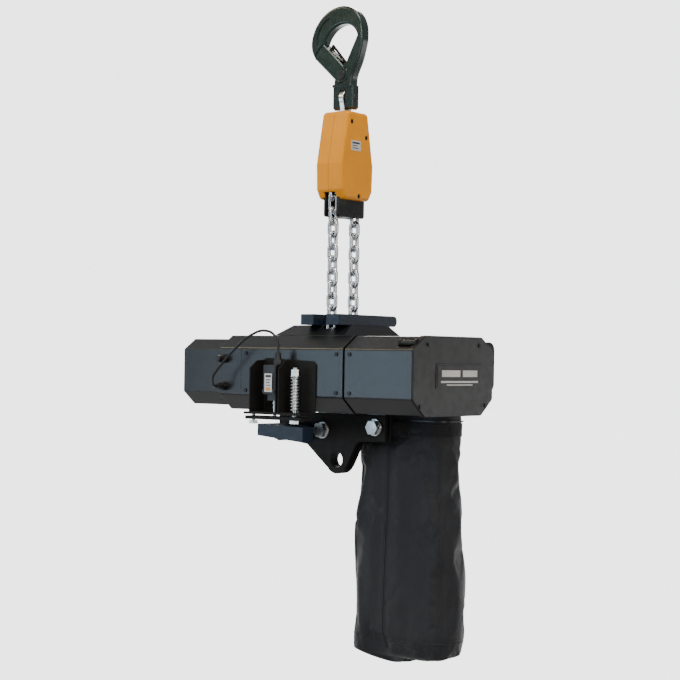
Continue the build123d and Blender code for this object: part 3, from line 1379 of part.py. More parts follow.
with BuildPart() as bag_frame:
    with BuildSketch(Plane.XY.offset(BAG_TOP + 0.2)):
        with Locations((BAG_X, BAG_Y)):
            RectangleRounded(BAG_X1 - BAG_X0 - 16, BAG_Y1 - BAG_Y0 - 16, BAG_CORNER - 8)
            RectangleRounded(
                BAG_X1 - BAG_X0 - 34,
                BAG_Y1 - BAG_Y0 - 34,
                BAG_CORNER - 17,
                mode=Mode.SUBTRACT,
            )
            Rectangle(10, BAG_Y1 - BAG_Y0 - 20)
    extrude(amount=3)
    with BuildSketch(Plane.XZ.offset(-BAG_Y0 - 30)):
        with Locations((BAG_X, BAG_HINGE_Z - 3)):
            Rectangle(9, 8)
        with Locations((BAG_X, BAG_HINGE_Z)):
            Circle(4.5)
            Circle(2.1, mode=Mode.SUBTRACT)
    extrude(amount=-60)
bag_frame.part.label = "bag_frame"
export_step(bag_frame.part, "parts/bag_frame.step")

with BuildPart() as bag_hanger:
    for y in (BAG_Y0 + 22, BAG_Y1 - 20):
        with BuildSketch(Plane.XZ.offset(-y)):
            with BuildLine():
                Polyline(
                    (BAG_X - 8, COVER_BOTTOM - 0.2),
                    (BAG_X + 8, COVER_BOTTOM - 0.2),
                    (BAG_X + 5, BAG_HINGE_Z - 4.5),
                    (BAG_X - 5, BAG_HINGE_Z - 4.5),
                    close=True,
                )
            make_face()
        extrude(amount=-4)
    with BuildSketch(Plane.XZ.offset(-BAG_Y0 - 20)):
        with Locations((BAG_X, BAG_HINGE_Z)):
            Circle(2.0)
    extrude(amount=-80)
bag_hanger.part.label = "bag_hanger"
export_step(bag_hanger.part, "parts/bag_hanger.step")
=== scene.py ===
import json
import math

import bpy
import numpy as np
from mathutils import Matrix, Vector, noise


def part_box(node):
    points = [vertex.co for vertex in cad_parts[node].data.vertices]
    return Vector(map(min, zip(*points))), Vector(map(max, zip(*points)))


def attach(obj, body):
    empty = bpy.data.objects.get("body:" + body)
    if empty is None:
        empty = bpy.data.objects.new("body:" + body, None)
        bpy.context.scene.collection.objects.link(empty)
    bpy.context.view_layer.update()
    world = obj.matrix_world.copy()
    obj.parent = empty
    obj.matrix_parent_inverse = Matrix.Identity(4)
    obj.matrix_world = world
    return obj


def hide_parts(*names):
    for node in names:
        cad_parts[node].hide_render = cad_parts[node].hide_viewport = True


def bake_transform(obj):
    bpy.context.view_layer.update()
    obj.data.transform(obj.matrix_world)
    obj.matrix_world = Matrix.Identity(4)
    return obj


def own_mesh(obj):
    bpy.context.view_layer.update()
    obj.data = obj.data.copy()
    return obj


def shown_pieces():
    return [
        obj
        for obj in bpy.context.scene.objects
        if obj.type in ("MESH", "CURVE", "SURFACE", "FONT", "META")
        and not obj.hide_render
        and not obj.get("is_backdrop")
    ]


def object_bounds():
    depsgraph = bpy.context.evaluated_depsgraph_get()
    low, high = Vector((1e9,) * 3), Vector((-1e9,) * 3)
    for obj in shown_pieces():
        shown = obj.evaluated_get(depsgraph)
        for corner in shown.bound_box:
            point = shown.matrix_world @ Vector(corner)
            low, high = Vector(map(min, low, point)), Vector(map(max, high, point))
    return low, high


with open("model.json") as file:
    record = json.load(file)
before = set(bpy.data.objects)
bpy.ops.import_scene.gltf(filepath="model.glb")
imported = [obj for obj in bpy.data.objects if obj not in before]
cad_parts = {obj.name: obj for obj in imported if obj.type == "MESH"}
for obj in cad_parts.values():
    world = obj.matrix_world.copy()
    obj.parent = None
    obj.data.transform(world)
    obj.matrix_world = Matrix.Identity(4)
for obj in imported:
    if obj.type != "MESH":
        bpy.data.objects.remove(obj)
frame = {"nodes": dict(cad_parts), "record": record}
cad_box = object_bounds()
nodes = frame["nodes"]
scene = bpy.context.scene


# ---------------------------------------------------------------- camera
AZIMUTH = 38.5  # degrees from the front towards the control end
DISTANCE = 3.79
EYE_HEIGHT = -0.745
PITCH_UP = 0.64
ROLL = 0.9
LENS = 90.2
SHIFT = -0.003
camera_data = bpy.data.cameras.new("camera")
camera_data.lens = LENS
camera_data.shift_x = SHIFT
camera_data.sensor_width = 36.0
camera_data.clip_end = 100.0
camera = bpy.data.objects.new("camera", camera_data)
scene.collection.objects.link(camera)
azimuth = math.radians(AZIMUTH)
camera.location = (DISTANCE * math.sin(azimuth), -DISTANCE * math.cos(azimuth), EYE_HEIGHT)
aim = Matrix.Rotation(azimuth, 4, "Z") @ Matrix.Rotation(math.radians(90 + PITCH_UP), 4, "X")
tilt = Matrix.Rotation(math.radians(ROLL), 4, "Z")
camera.matrix_world = Matrix.Translation(camera.location) @ aim @ tilt
scene.camera = camera


# ---------------------------------------------------------------- materials
def principled(name, base, rough, metal=0.0, specular=0.5, coat=0.0):
    """A principled material, its node tree, its shader and its object coordinates."""
    material = bpy.data.materials.new(name)
    material.use_nodes = True
    tree = material.node_tree
    shader = tree.nodes["Principled BSDF"]
    shader.inputs["Base Color"].default_value = (*base, 1)
    shader.inputs["Roughness"].default_value = rough
    shader.inputs["Metallic"].default_value = metal
    shader.inputs["Specular IOR Level"].default_value = specular
    shader.inputs["Coat Weight"].default_value = coat
    coords = tree.nodes.new("ShaderNodeTexCoord")
    return material, tree, shader, coords.outputs["Object"]


def noise_node(tree, coords, scale, detail=3.0, rough=0.6, stretch=None):
    source = coords
    if stretch:
        mapping = tree.nodes.new("ShaderNodeMapping")
        mapping.inputs["Scale"].default_value = stretch
        tree.links.new(coords, mapping.inputs["Vector"])
        source = mapping.outputs["Vector"]
    node = tree.nodes.new("ShaderNodeTexNoise")
    node.inputs["Scale"].default_value = scale
    node.inputs["Detail"].default_value = detail
    node.inputs["Roughness"].default_value = rough
    tree.links.new(source, node.inputs["Vector"])
    return node.outputs["Fac"]


def ramp(tree, value, stops):
    node = tree.nodes.new("ShaderNodeValToRGB")
    elements = node.color_ramp.elements
    while len(elements) < len(stops):
        elements.new(0.5)
    for element, (place, colour) in zip(elements, stops):
        element.position = place
        element.color = (*colour, 1)
    tree.links.new(value, node.inputs["Fac"])
    return node.outputs["Color"]


def spread(tree, value, low, high, start=0.3, end=0.7):
    """Runs from low to high while value runs from start to end."""
    node = tree.nodes.new("ShaderNodeMapRange")
    node.inputs["From Min"].default_value = start
    node.inputs["From Max"].default_value = end
    node.inputs["To Min"].default_value = low
    node.inputs["To Max"].default_value = high
    tree.links.new(value, node.inputs["Value"])
    return node.outputs["Result"]


def bump(tree, height, strength, distance, under=None):
    node = tree.nodes.new("ShaderNodeBump")
    node.inputs["Strength"].default_value = strength
    node.inputs["Distance"].default_value = distance
    tree.links.new(height, node.inputs["Height"])
    if under is not None:
        tree.links.new(under, node.inputs["Normal"])
    return node.outputs["Normal"]


def mixed(tree, share, under, over):
    """The colour under, with the plain colour over on top of it where share is high."""
    node = tree.nodes.new("ShaderNodeMix")
    node.data_type = "RGBA"
    socket = {item.identifier: item for item in node.inputs}
    tree.links.new(share, socket["Factor_Float"])
    tree.links.new(under, socket["A_Color"])
    socket["B_Color"].default_value = (*over, 1)
    return next(item for item in node.outputs if item.identifier == "Result_Color")


def soft_edge(tree, radius):
    """A normal that rounds the mesh's edges."""
    node = tree.nodes.new("ShaderNodeBevel")
    node.samples = 4
    node.inputs["Radius"].default_value = radius
    return node.outputs["Normal"]


DUST = (0.42, 0.40, 0.36)


def surface(name, base, rough, metal=0.0, specular=0.5, coat=0.0, tint=0.25, patch=9.0,
            grain=700.0, grain_depth=0.00012, grain_strength=0.5, lumps=0.0, edge=0.0,
            rough_spread=0.09, stretch=None, fleck=None, dust=0.0):
    """A hard finish: broad tint, flecks, dust, uneven gloss, lumps, grain and soft edges."""
    material, tree, shader, coords = principled(name, base, rough, metal, specular, coat)
    broad = noise_node(tree, coords, patch, 5.0)
    dark = tuple(c * (1 - tint) for c in base)
    light = tuple(min(1.0, c * (1 + tint)) for c in base)
    colour = ramp(tree, broad, [(0.32, dark), (0.5, base), (0.68, light)])
    if fleck:
        spots = noise_node(tree, coords, 160.0, 6.0, 0.75)
        colour = mixed(tree, spread(tree, spots, 0.0, 1.0, 0.70, 0.74), colour, fleck)
    if dust:
        settled = noise_node(tree, coords, 22.0, 8.0, 0.7)
        colour = mixed(tree, spread(tree, settled, 0.0, dust, 0.48, 0.75), colour, DUST)
    tree.links.new(colour, shader.inputs["Base Color"])
    mid = noise_node(tree, coords, 55.0, 6.0, 0.65, stretch)
    gloss = spread(tree, mid, rough - rough_spread, rough + rough_spread)
    tree.links.new(gloss, shader.inputs["Roughness"])
    normal = soft_edge(tree, edge) if edge else None
    if lumps:
        normal = bump(tree, noise_node(tree, coords, 45.0, 4.0, 0.55), 0.6, lumps, normal)
    fine = noise_node(tree, coords, grain, 2.0, 0.5, stretch)
    normal = bump(tree, fine, grain_strength, grain_depth, normal)
    tree.links.new(normal, shader.inputs["Normal"])
    return material


WAVES_PER_METRE = 0.314  # the wave texture's scale for a thread one metre wide


def weave(name, base, light, thread=0.0011, depth=0.0003, rough=0.82, sheen=0.25):
    """A plain weave with worn patches and a faint sheen."""
    material, tree, shader, coords = principled(name, base, rough)
    shader.inputs["Sheen Weight"].default_value = sheen
    shader.inputs["Sheen Roughness"].default_value = 0.45
    heights = []
    for axis in ("X", "Z"):
        wave = tree.nodes.new("ShaderNodeTexWave")
        wave.wave_type = "BANDS"
        wave.bands_direction = axis
        wave.wave_profile = "SIN"
        wave.inputs["Scale"].default_value = WAVES_PER_METRE / thread
        wave.inputs["Distortion"].default_value = 0.6
        wave.inputs["Detail"].default_value = 1.0
        tree.links.new(coords, wave.inputs["Vector"])
        heights.append(wave.outputs["Fac"])
    cross = tree.nodes.new("ShaderNodeMath")
    cross.operation = "MAXIMUM"
    tree.links.new(heights[0], cross.inputs[0])
    tree.links.new(heights[1], cross.inputs[1])
    patches = noise_node(tree, coords, 14.0, 6.0, 0.65)
    shade = tuple(c * 0.7 for c in base)
    worn = ramp(tree, patches, [(0.3, shade), (0.52, base), (0.72, light)])
    tree.links.new(worn, shader.inputs["Base Color"])
    tree.links.new(spread(tree, patches, rough - 0.12, rough + 0.08), shader.inputs["Roughness"])
    normal = bump(tree, noise_node(tree, coords, 70.0, 5.0, 0.6), 0.5, 0.0016)
    tree.links.new(bump(tree, cross.outputs[0], 0.55, depth, normal), shader.inputs["Normal"])
    return material


LOOKS = {
    "hook_paint": surface("hook_paint", (0.009, 0.024, 0.019), 0.28, coat=0.2, tint=0.3, lumps=0.0009,
                          grain=420, grain_depth=0.00025, edge=0.0012, fleck=(0.07, 0.065, 0.055)),
    "dark_steel": surface("dark_steel", (0.055, 0.055, 0.06), 0.38, metal=0.8, lumps=0.0002, edge=0.0006,
                          fleck=(0.14, 0.10, 0.07)),
    "zinc": surface("zinc", (0.72, 0.74, 0.74), 0.30, metal=1.0, tint=0.12, patch=40, lumps=0.00012,
                    edge=0.0006, grain=900, grain_depth=0.00006),
    "bright_steel": surface("bright_steel", (0.56, 0.57, 0.58), 0.27, metal=1.0, tint=0.12, patch=30,
                            edge=0.0004, stretch=(0.06, 1, 1), grain_depth=0.00005),
    "yellow_paint": surface("yellow_paint", (0.86, 0.31, 0.0), 0.40, specular=0.3, tint=0.07, lumps=0.0005,
                            grain=380, grain_depth=0.00018, edge=0.0016, fleck=(0.34, 0.11, 0.004)),
    "brass": surface("brass", (0.60, 0.42, 0.16), 0.33, metal=1.0, tint=0.15),
    "chain_zinc": surface("chain_zinc", (0.66, 0.67, 0.69), 0.25, metal=1.0, tint=0.16, patch=60,
                          lumps=0.0003, grain=1100, grain_depth=0.00007),
    "rubber": surface("rubber", (0.006, 0.006, 0.0065), 0.58, specular=0.35, tint=0.2, grain=520,
                      grain_depth=0.0002, edge=0.0012, dust=0.10),
    "black_coat": surface("black_coat", (0.0085, 0.0095, 0.012), 0.30, specular=0.62, tint=0.08,
                          grain=620, grain_depth=0.00030, grain_strength=0.6, edge=0.0014,
                          rough_spread=0.02),
    "black_cap": surface("black_cap", (0.0075, 0.0062, 0.0052), 0.40, specular=0.5, tint=0.12, grain=520,
                         grain_depth=0.00028, edge=0.0012),
    "black_steel": surface("black_steel", (0.010, 0.010, 0.011), 0.40, metal=0.3, tint=0.2, edge=0.0005),
    "black_rail": surface("black_rail", (0.0055, 0.013, 0.028), 0.36, specular=0.35, tint=0.15, grain=600,
                          edge=0.0012),
    "aluminium": surface("aluminium", (0.42, 0.43, 0.44), 0.45, metal=0.9, tint=0.1, lumps=0.0005,
                         edge=0.0008),
    "electric_plastic": surface("electric_plastic", (0.30, 0.31, 0.33), 0.55, tint=0.08),
    "switch_plastic": surface("switch_plastic", (0.008, 0.0085, 0.010), 0.42, specular=0.5, tint=0.12,
                              grain=900, grain_depth=0.00014, edge=0.0008),
    "cable_sheath": surface("cable_sheath", (0.007, 0.007, 0.0075), 0.46, tint=0.15, grain=800,
                            grain_depth=0.0001),
    "bag_fabric": weave("bag_fabric", (0.0075, 0.0085, 0.012), (0.016, 0.018, 0.025), rough=0.62,
                        sheen=0.10),
}
webbing = weave("webbing", (0.006, 0.006, 0.007), (0.012, 0.012, 0.014), thread=0.0019, depth=0.0005,
                sheen=0.15)
thread = surface("thread", (0.020, 0.021, 0.025), 0.7, tint=0.15, grain=2500, grain_depth=0.0001)
label_white = surface("label_white", (0.70, 0.71, 0.70), 0.42, tint=0.04, grain=900, grain_depth=0.00004)
label_ink = surface("label_ink", (0.03, 0.035, 0.05), 0.5, tint=0.1, grain=900, grain_depth=0.00004)
label_warm = surface("label_warm", (0.80, 0.30, 0.03), 0.45, tint=0.05, grain=900, grain_depth=0.00004)
label_pale = surface("label_pale", (0.62, 0.60, 0.56), 0.40, tint=0.08, grain=900, grain_depth=0.00004)
plate_coat = surface("plate_coat", (0.0105, 0.0095, 0.0090), 0.60, specular=0.22, tint=0.15, grain=560,
                     grain_depth=0.00022, edge=0.0008)
PLATE_COAT_NODES = ("suspension_plate_front", "suspension_plate_rear", "suspension_bush",
                    "switch_bracket", "load_lever")
slot_of = {part["node"]: part["material_slot"] for part in frame["record"]["subparts"]}
for name, node in nodes.items():
    node.data.materials.clear()
    node.data.materials.append(plate_coat if name in PLATE_COAT_NODES else LOOKS[slot_of[name]])


# ---------------------------------------------------------------- helpers
def made(name, verts, faces, material, body=None, smooth=True):
    """A mesh object, riding on body if one is named."""
    mesh = bpy.data.meshes.new(name)
    mesh.from_pydata([tuple(v) for v in verts], [], faces)
    mesh.update()
    if smooth:
        mesh.polygons.foreach_set("use_smooth", [True] * len(mesh.polygons))
    mesh.materials.append(material)
    obj = bpy.data.objects.new(name, mesh)
    scene.collection.objects.link(obj)
    if body:
        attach(obj, body)
    return obj


def patch_box(centre, across, up, out, width, height, thick):
    """Corners and faces of a thin raised rectangle that stands on centre and faces out."""
    corners = []
    for depth in (-0.3 * thick, thick):
        for u, v in ((-1, -1), (1, -1), (1, 1), (-1, 1)):
            corners.append(centre + across * (u * width / 2) + up * (v * height / 2) + out * depth)
    faces = [(0, 3, 2, 1), (4, 5, 6, 7), (0, 1, 5, 4), (1, 2, 6, 5), (2, 3, 7, 6), (3, 0, 4, 7)]
    return corners, faces


LABEL_THICK = 0.0004
BAR_THICK = 0.00015


def label(name, centre, across, up, width, height, body, ground, bars):
    """A generic label: a plain ground with blank bars on it.

    Each bar is (u, v, width, height, material), in shares of the label's own size.
    """
    centre, across, up = Vector(centre), Vector(across).normalized(), Vector(up).normalized()
    out = across.cross(up)
    verts, faces = patch_box(centre, across, up, out, width, height, LABEL_THICK)
    made(name, verts, faces, ground, body, smooth=False)
    groups = {}
    for u, v, wide, tall, material in bars:
        spot = centre + across * (u * width) + up * (v * height) + out * LABEL_THICK
        corners, quads = patch_box(spot, across, up, out, wide * width, tall * height, BAR_THICK)
        verts, faces = groups.setdefault(material.name, ([], []))
        faces.extend(tuple(i + len(verts) for i in quad) for quad in quads)
        verts.extend(corners)
    for key, (verts, faces) in groups.items():
        made(f"{name}_{key}", verts, faces, bpy.data.materials[key], body, smooth=False)


def tube(name, points, radius, material, sides=8, closed=False):
    """A round tube along a fine polyline."""
    count = len(points)
    verts, faces = [], []
    side = None
    for i, p in enumerate(points):
        ahead = points[(i + 1) % count] if closed or i < count - 1 else p
        behind = points[i - 1] if closed or i > 0 else p
        along = (ahead - behind).normalized()
        if side is None:
            side = along.orthogonal().normalized()
        side = (side - along * side.dot(along)).normalized()
        other = along.cross(side)
        for k in range(sides):
            angle = 2 * math.pi * k / sides
            verts.append(p + (side * math.cos(angle) + other * math.sin(angle)) * radius)
    for i in range(count if closed else count - 1):
        j = (i + 1) % count
        for k in range(sides):
            m = (k + 1) % sides
            faces.append((i * sides + k, i * sides + m, j * sides + m, j * sides + k))
    if not closed:
        faces.append(tuple(range(sides - 1, -1, -1)))
        faces.append(tuple((count - 1) * sides + k for k in range(sides)))
    return made(name, verts, faces, material)


def grain_of(along, side, length, radius, centre):
    """Corners and faces of one stitch: a small six-sided spindle."""
    along, side = along.normalized(), side.normalized()
    other = along.cross(side)
    verts, faces = [], []
    for share, r in ((-0.5, 0.35), (-0.25, 1.0), (0.25, 1.0), (0.5, 0.35)):
        for k in range(6):
            angle = math.pi * k / 3
            spoke = side * math.cos(angle) + other * math.sin(angle)
            verts.append(centre + along * (share * length) + spoke * radius * r)
    for i in range(3):
        for k in range(6):
            m = (k + 1) % 6
            faces.append((i * 6 + k, i * 6 + m, i * 6 + 6 + m, i * 6 + 6 + k))
    faces.append((5, 4, 3, 2, 1, 0))
    faces.append((18, 19, 20, 21, 22, 23))
    return verts, faces


# ---------------------------------------------------------------- switch cable
CABLE_R = 0.00275
ROUTE_MM = [
    (-58, -150, -733), (-58, -150, -709), (-74, -152, -688), (-106, -154, -684), (-148, -157, -702),
    (-186, -160, -734), (-220, -161, -766), (-242, -161, -789), (-240, -159, -810), (-240, -147, -810),
]  # from the switch's top gland to the brake cover's lower gland
ARC_SHARE = 0.45  # how much of a run each of its two arcs may take


def rounded_route(points, steps=8):
    """The route's runs joined by arcs as large as the runs allow."""
    path = [points[0]]
    for i in range(1, len(points) - 1):
        a, b, c = points[i - 1], points[i], points[i + 1]
        back, ahead = a - b, c - b
        cut = ARC_SHARE * min(back.length, ahead.length)
        start, end = b + back.normalized() * cut, b + ahead.normalized() * cut
        for k in range(steps + 1):
            t = k / steps
            path.append(start * (1 - t) ** 2 + b * (2 * t * (1 - t)) + end * t ** 2)
    path.append(points[-1])
    return path


cable_path = rounded_route([Vector(p) / 1000 for p in ROUTE_MM])
curve = bpy.data.curves.new("switch_cable_line", "CURVE")
curve.dimensions = "3D"
curve.bevel_depth = CABLE_R
curve.bevel_resolution = 6
curve.resolution_u = 6
line = curve.splines.new("NURBS")
line.points.add(len(cable_path) - 1)
for point, place in zip(line.points, cable_path):
    point.co = (*place, 1)
line.order_u = 3
line.use_endpoint_u = True
curve.use_fill_caps = True
curve.materials.append(LOOKS["cable_sheath"])
cable = bpy.data.objects.new("switch_cable_line", curve)
scene.collection.objects.link(cable)
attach(cable, "hoist")
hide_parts("switch_cable")


# ---------------------------------------------------------------- overload spring
spring = bpy.data.objects.new("spring_coil", nodes["overload_spring"].data.copy())
scene.collection.objects.link(spring)
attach(spring, "hoist")
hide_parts("overload_spring")
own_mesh(spring)


# ---------------------------------------------------------------- chain bag
BAG_LOW = Vector((-0.002, 0.033, -1.412))
BAG_HIGH = Vector((0.258, 0.146, -0.8655))
BAG_MID = Vector(((BAG_LOW.x + BAG_HIGH.x) / 2, (BAG_LOW.y + BAG_HIGH.y) / 2, 0))
BAG_HALF_X = 0.130
BAG_HALF_Y = 0.0565
BAG_CORNER = 0.034
BAG_INSET = 0.005  # how far the cloth's plain form stays inside those halves
EDGE_RISE = 0.022  # from the lowest point up to the bottom's edge
BOTTOM_SAG = 0.020
TOP_DIP = -0.004
AROUND = 168  # points in a ring
UP = 104  # steps from the bottom's edge to the collar
FLOOR_RINGS = 14


def outline(share, half_x, half_y, corner):
    """A point and its outward normal on a rounded rectangle.

    Share runs from 0 to 1 on the way round from the middle of the front.
    """
    straight_x, straight_y = half_x - corner, half_y - corner
    arc = math.pi * corner / 2
    runs = [straight_x, arc, 2 * straight_y, arc, 2 * straight_x, arc, 2 * straight_y, arc, straight_x]
    s = share * sum(runs)
    corners = [(1, -1, -90), (1, 1, 0), (-1, 1, 90), (-1, -1, 180)]
    for i, run in enumerate(runs):
        if s <= run or i == len(runs) - 1:
            break
        s -= run
    if i % 2:
        sx, sy, start = corners[i // 2]
        a = math.radians(start + 90 * s / arc)
        n = Vector((math.cos(a), math.sin(a), 0))
        return Vector((sx * straight_x, sy * straight_y, 0)) + n * corner, n
    starts = [(0, -half_y), (half_x, -straight_y), (straight_x, half_y), (-half_x, straight_y),
              (-straight_x, -half_y)]
    ways = [(1, 0), (0, 1), (-1, 0), (0, -1), (1, 0)]
    (x, y), (dx, dy) = starts[i // 2], ways[i // 2]
    return Vector((x + dx * s, y + dy * s, 0)), Vector((dy, -dx, 0))


# folds round the bag: how many, phase, height and drift from bottom to top
FOLDS = ((5, 0.4, 0.0024, 0.5), (9, 2.1, 0.0014, -0.7), (17, 4.0, 0.0006, 1.1))


def bag_point(share, t):
    """Share of the way round, and t from 0 at the bottom edge to 1 at the collar."""
    z = BAG_LOW.z + EDGE_RISE + t * (BAG_HIGH.z - BAG_LOW.z - EDGE_RISE)
    waist = 0.03 * math.exp(-((t - 0.70) / 0.16) ** 2)
    tuck = 0.03 * math.exp(-(t / 0.05) ** 2)
    full = 1.065 - 0.12 * t ** 1.4 - waist - tuck
    p, n = outline(share, (BAG_HALF_X - BAG_INSET) * full, (BAG_HALF_Y - BAG_INSET) * full, BAG_CORNER)
    waves = 0.0
    for count, phase, size, drift in FOLDS:
        waves += size * math.sin(2 * math.pi * count * share + phase + drift * 2.2 * t)
    fade = 0.35 + 0.65 * math.sin(math.pi * min(1.0, max(0.0, t * 0.95 + 0.03)))
    slump = 0.0035 * math.sin(8 * t + 3 * share * 2 * math.pi) * (1 - t)
    wander = 0.004 * noise.noise(Vector((p.x * 16, p.y * 16, z * 9)))
    return Vector((p.x, p.y, z)) + BAG_MID + n * (waves * fade + slump + wander - 0.001)


def bag_mesh():
    """The closed bag: a grid of rings with a sagging bottom and a slightly dished top."""
    verts, faces = [], []
    for j in range(UP + 1):
        for i in range(AROUND):
            verts.append(bag_point(i / AROUND, j / UP))
    for j in range(UP):
        for i in range(AROUND):
            m = (i + 1) % AROUND
            faces.append((j * AROUND + i, j * AROUND + m, (j + 1) * AROUND + m, (j + 1) * AROUND + i))
    for end, base in ((-1, 0), (1, UP * AROUND)):
        ring = list(range(base, base + AROUND))
        edge = [verts[k].copy() for k in ring]
        middle = sum(edge, Vector()) / AROUND
        depth = BOTTOM_SAG if end < 0 else TOP_DIP
        previous = ring
        for r in range(1, FLOOR_RINGS):
            t = r / FLOOR_RINGS
            current = []
            for k, p in enumerate(edge):
                q = p.lerp(middle, 1 - math.cos(t * math.pi / 2))
                q.z = p.z + end * depth * math.sin(t * math.pi / 2)
                current.append(len(verts))
                verts.append(q)
            for k in range(AROUND):
                m = (k + 1) % AROUND
                quad = (previous[k], previous[m], current[m], current[k])
                faces.append(quad[::-1] if end < 0 else quad)
            previous = current
        faces.append(tuple(previous[::-1]) if end < 0 else tuple(previous))
    return verts, faces


HELD_ABOVE = -0.890  # the cloth pass's hold on the collar rises from none here
HELD_FADE = 0.02  # to full this much higher
LAST_FRAME = 20
FARTHEST = 0.007  # the most that the cloth pass may move a point

bag_verts, bag_faces = bag_mesh()
bag = made("bag_cloth", bag_verts, bag_faces, LOOKS["bag_fabric"])
rest = np.array([tuple(v) for v in bag_verts])
pins = bag.vertex_groups.new(name="held")
for index, p in enumerate(rest):
    held = max(0.0, min(1.0, (p[2] - HELD_ABOVE) / HELD_FADE))
    if held > 0:
        pins.add([index], held, "REPLACE")
cloth = bag.modifiers.new("cloth", "CLOTH")
settings = cloth.settings
settings.quality = 5
settings.mass = 0.25
settings.tension_stiffness = 14
settings.compression_stiffness = 14
settings.shear_stiffness = 6
settings.bending_stiffness = 1.2
settings.shrink_min = -0.008
settings.use_pressure = True
settings.uniform_pressure_force = 3.0
settings.vertex_group_mass = "held"
settings.effector_weights.gravity = 0.0
cloth.collision_settings.use_self_collision = False
cloth.point_cache.frame_start = 1
cloth.point_cache.frame_end = LAST_FRAME
for number in range(1, LAST_FRAME + 1):
    scene.frame_set(number)
graph = bpy.context.evaluated_depsgraph_get()
moved = np.zeros(len(rest) * 3)
bag.evaluated_get(graph).to_mesh().vertices.foreach_get("co", moved)
bag.modifiers.remove(cloth)
move = moved.reshape(-1, 3) - rest
far = np.linalg.norm(move, axis=1, keepdims=True)
move *= np.minimum(1.0, FARTHEST / np.maximum(far, 1e-9))
bag.data.vertices.foreach_set("co", (rest + move).ravel())
bag.data.update()
scene.frame_set(1)

cloth_points = [v.co.copy() for v in bag.data.vertices]
cloth_normals = [v.normal.copy() for v in bag.data.vertices]


def on_bag(column, row, lift):
    """A point of the bag's grid, lifted off the cloth; column and row may be fractions."""
    i, j = int(column) % AROUND, min(UP - 1, int(row))
    u, v = column - int(column), row - j
    a, b = j * AROUND + i, j * AROUND + (i + 1) % AROUND
    c, d = a + AROUND, b + AROUND
    low = cloth_points[a].lerp(cloth_points[b], u)
    high = cloth_points[c].lerp(cloth_points[d], u)
    low_n = cloth_normals[a].lerp(cloth_normals[b], u)
    high_n = cloth_normals[c].lerp(cloth_normals[d], u)
    n = low_n.lerp(high_n, v)
    return low.lerp(high, v) + n.normalized() * lift, n.normalized()


def round_the_bag(row, lift, count=400, closed=True):
    """Points and normals of a ring at a row of the grid; an open ring's last point is its first."""
    return [on_bag(c % AROUND, row, lift) for c in np.linspace(0, AROUND, count, endpoint=not closed)]


def stitches(name, path, step=0.0042, length=0.0030, radius=0.00042):
    """A row of stitches along a path of (point, normal) pairs."""
    verts, faces = [], []
    carried = 0.0
    for (a, na), (b, nb) in zip(path, path[1:]):
        run = (b - a).length
        while carried < run:
            t = carried / max(run, 1e-9)
            more_verts, more_faces = grain_of(b - a, na, length, radius, a.lerp(b, t))
            faces.extend(tuple(i + len(verts) for i in face) for face in more_faces)
            verts.extend(more_verts)
            carried += step
        carried -= run
    return made(name, verts, faces, thread)


subdivide = bag.modifiers.new("finer", "SUBSURF")
subdivide.levels = 1
subdivide.render_levels = 1
bpy.context.view_layer.objects.active = bag
bag.select_set(True)
bpy.ops.object.modifier_apply(modifier="finer")
bag.data.polygons.foreach_set("use_smooth", [True] * len(bag.data.polygons))

SEAM_SHARES = (0.965, 0.18, 0.32, 0.68, 0.82)  # of the way round
SEAM_RADIUS = 0.0011
SEAM_LIFT = 0.0004
STITCH_ASIDE = 1.35  # grid columns from a seam to the stitches beside it
STITCH_LIFT = 0.0003
HEM_ROW = 6.0
HEM_RADIUS = 0.0012
HEM_STITCH_ROW = HEM_ROW + 1.6

bag_pieces = []
seam_rows = np.linspace(1.0, UP - 4.0, 150)
for number, share in enumerate(SEAM_SHARES):
    column = AROUND * share
    ridge = [on_bag(column, r, SEAM_LIFT)[0] for r in seam_rows]
    bag_pieces.append(tube(f"bag_seam_{number}", ridge, SEAM_RADIUS, LOOKS["bag_fabric"]))
    for letter, aside in (("a", -STITCH_ASIDE), ("b", STITCH_ASIDE)):
        path = [on_bag(column + aside, r, STITCH_LIFT) for r in seam_rows]
        bag_pieces.append(stitches(f"bag_seam_stitches_{number}_{letter}", path))

ring = [point for point, normal in round_the_bag(HEM_ROW, SEAM_LIFT)]
bag_pieces.append(tube("bag_hem_0", ring, HEM_RADIUS, LOOKS["bag_fabric"], closed=True))
path = round_the_bag(HEM_STITCH_ROW, STITCH_LIFT, closed=False)
bag_pieces.append(stitches("bag_hem_stitches_0", path))


BAND_SINK = 0.0012  # how far a band's inner face lies below its lift


def band(name, row_low, row_high, lift, thick, material, count=2 * AROUND):
    """A flat strip of webbing all round the bag."""
    verts, faces = [], []
    for k in range(count):
        c = k * AROUND / count
        for row, height in ((row_low, lift - BAND_SINK), (row_low, lift + thick),
                            (row_high, lift + thick), (row_high, lift - BAND_SINK)):
            verts.append(on_bag(c, row, height)[0])
    for k in range(count):
        m = (k + 1) % count
        for e in range(4):
            f = (e + 1) % 4
            faces.append((k * 4 + e, m * 4 + e, m * 4 + f, k * 4 + f))
    return made(name, verts, faces, material, smooth=False)


bag_pieces.append(band("bag_collar_band", UP - 9.0, UP - 3.2, 0.0006, 0.0012, webbing))
for number, row in enumerate((UP - 8.4, UP - 3.8)):
    path = round_the_bag(row, 0.0020, closed=False)
    bag_pieces.append(stitches(f"bag_collar_stitches_{number}", path))

for piece in [bag] + bag_pieces:
    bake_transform(piece)
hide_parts("chain_bag")


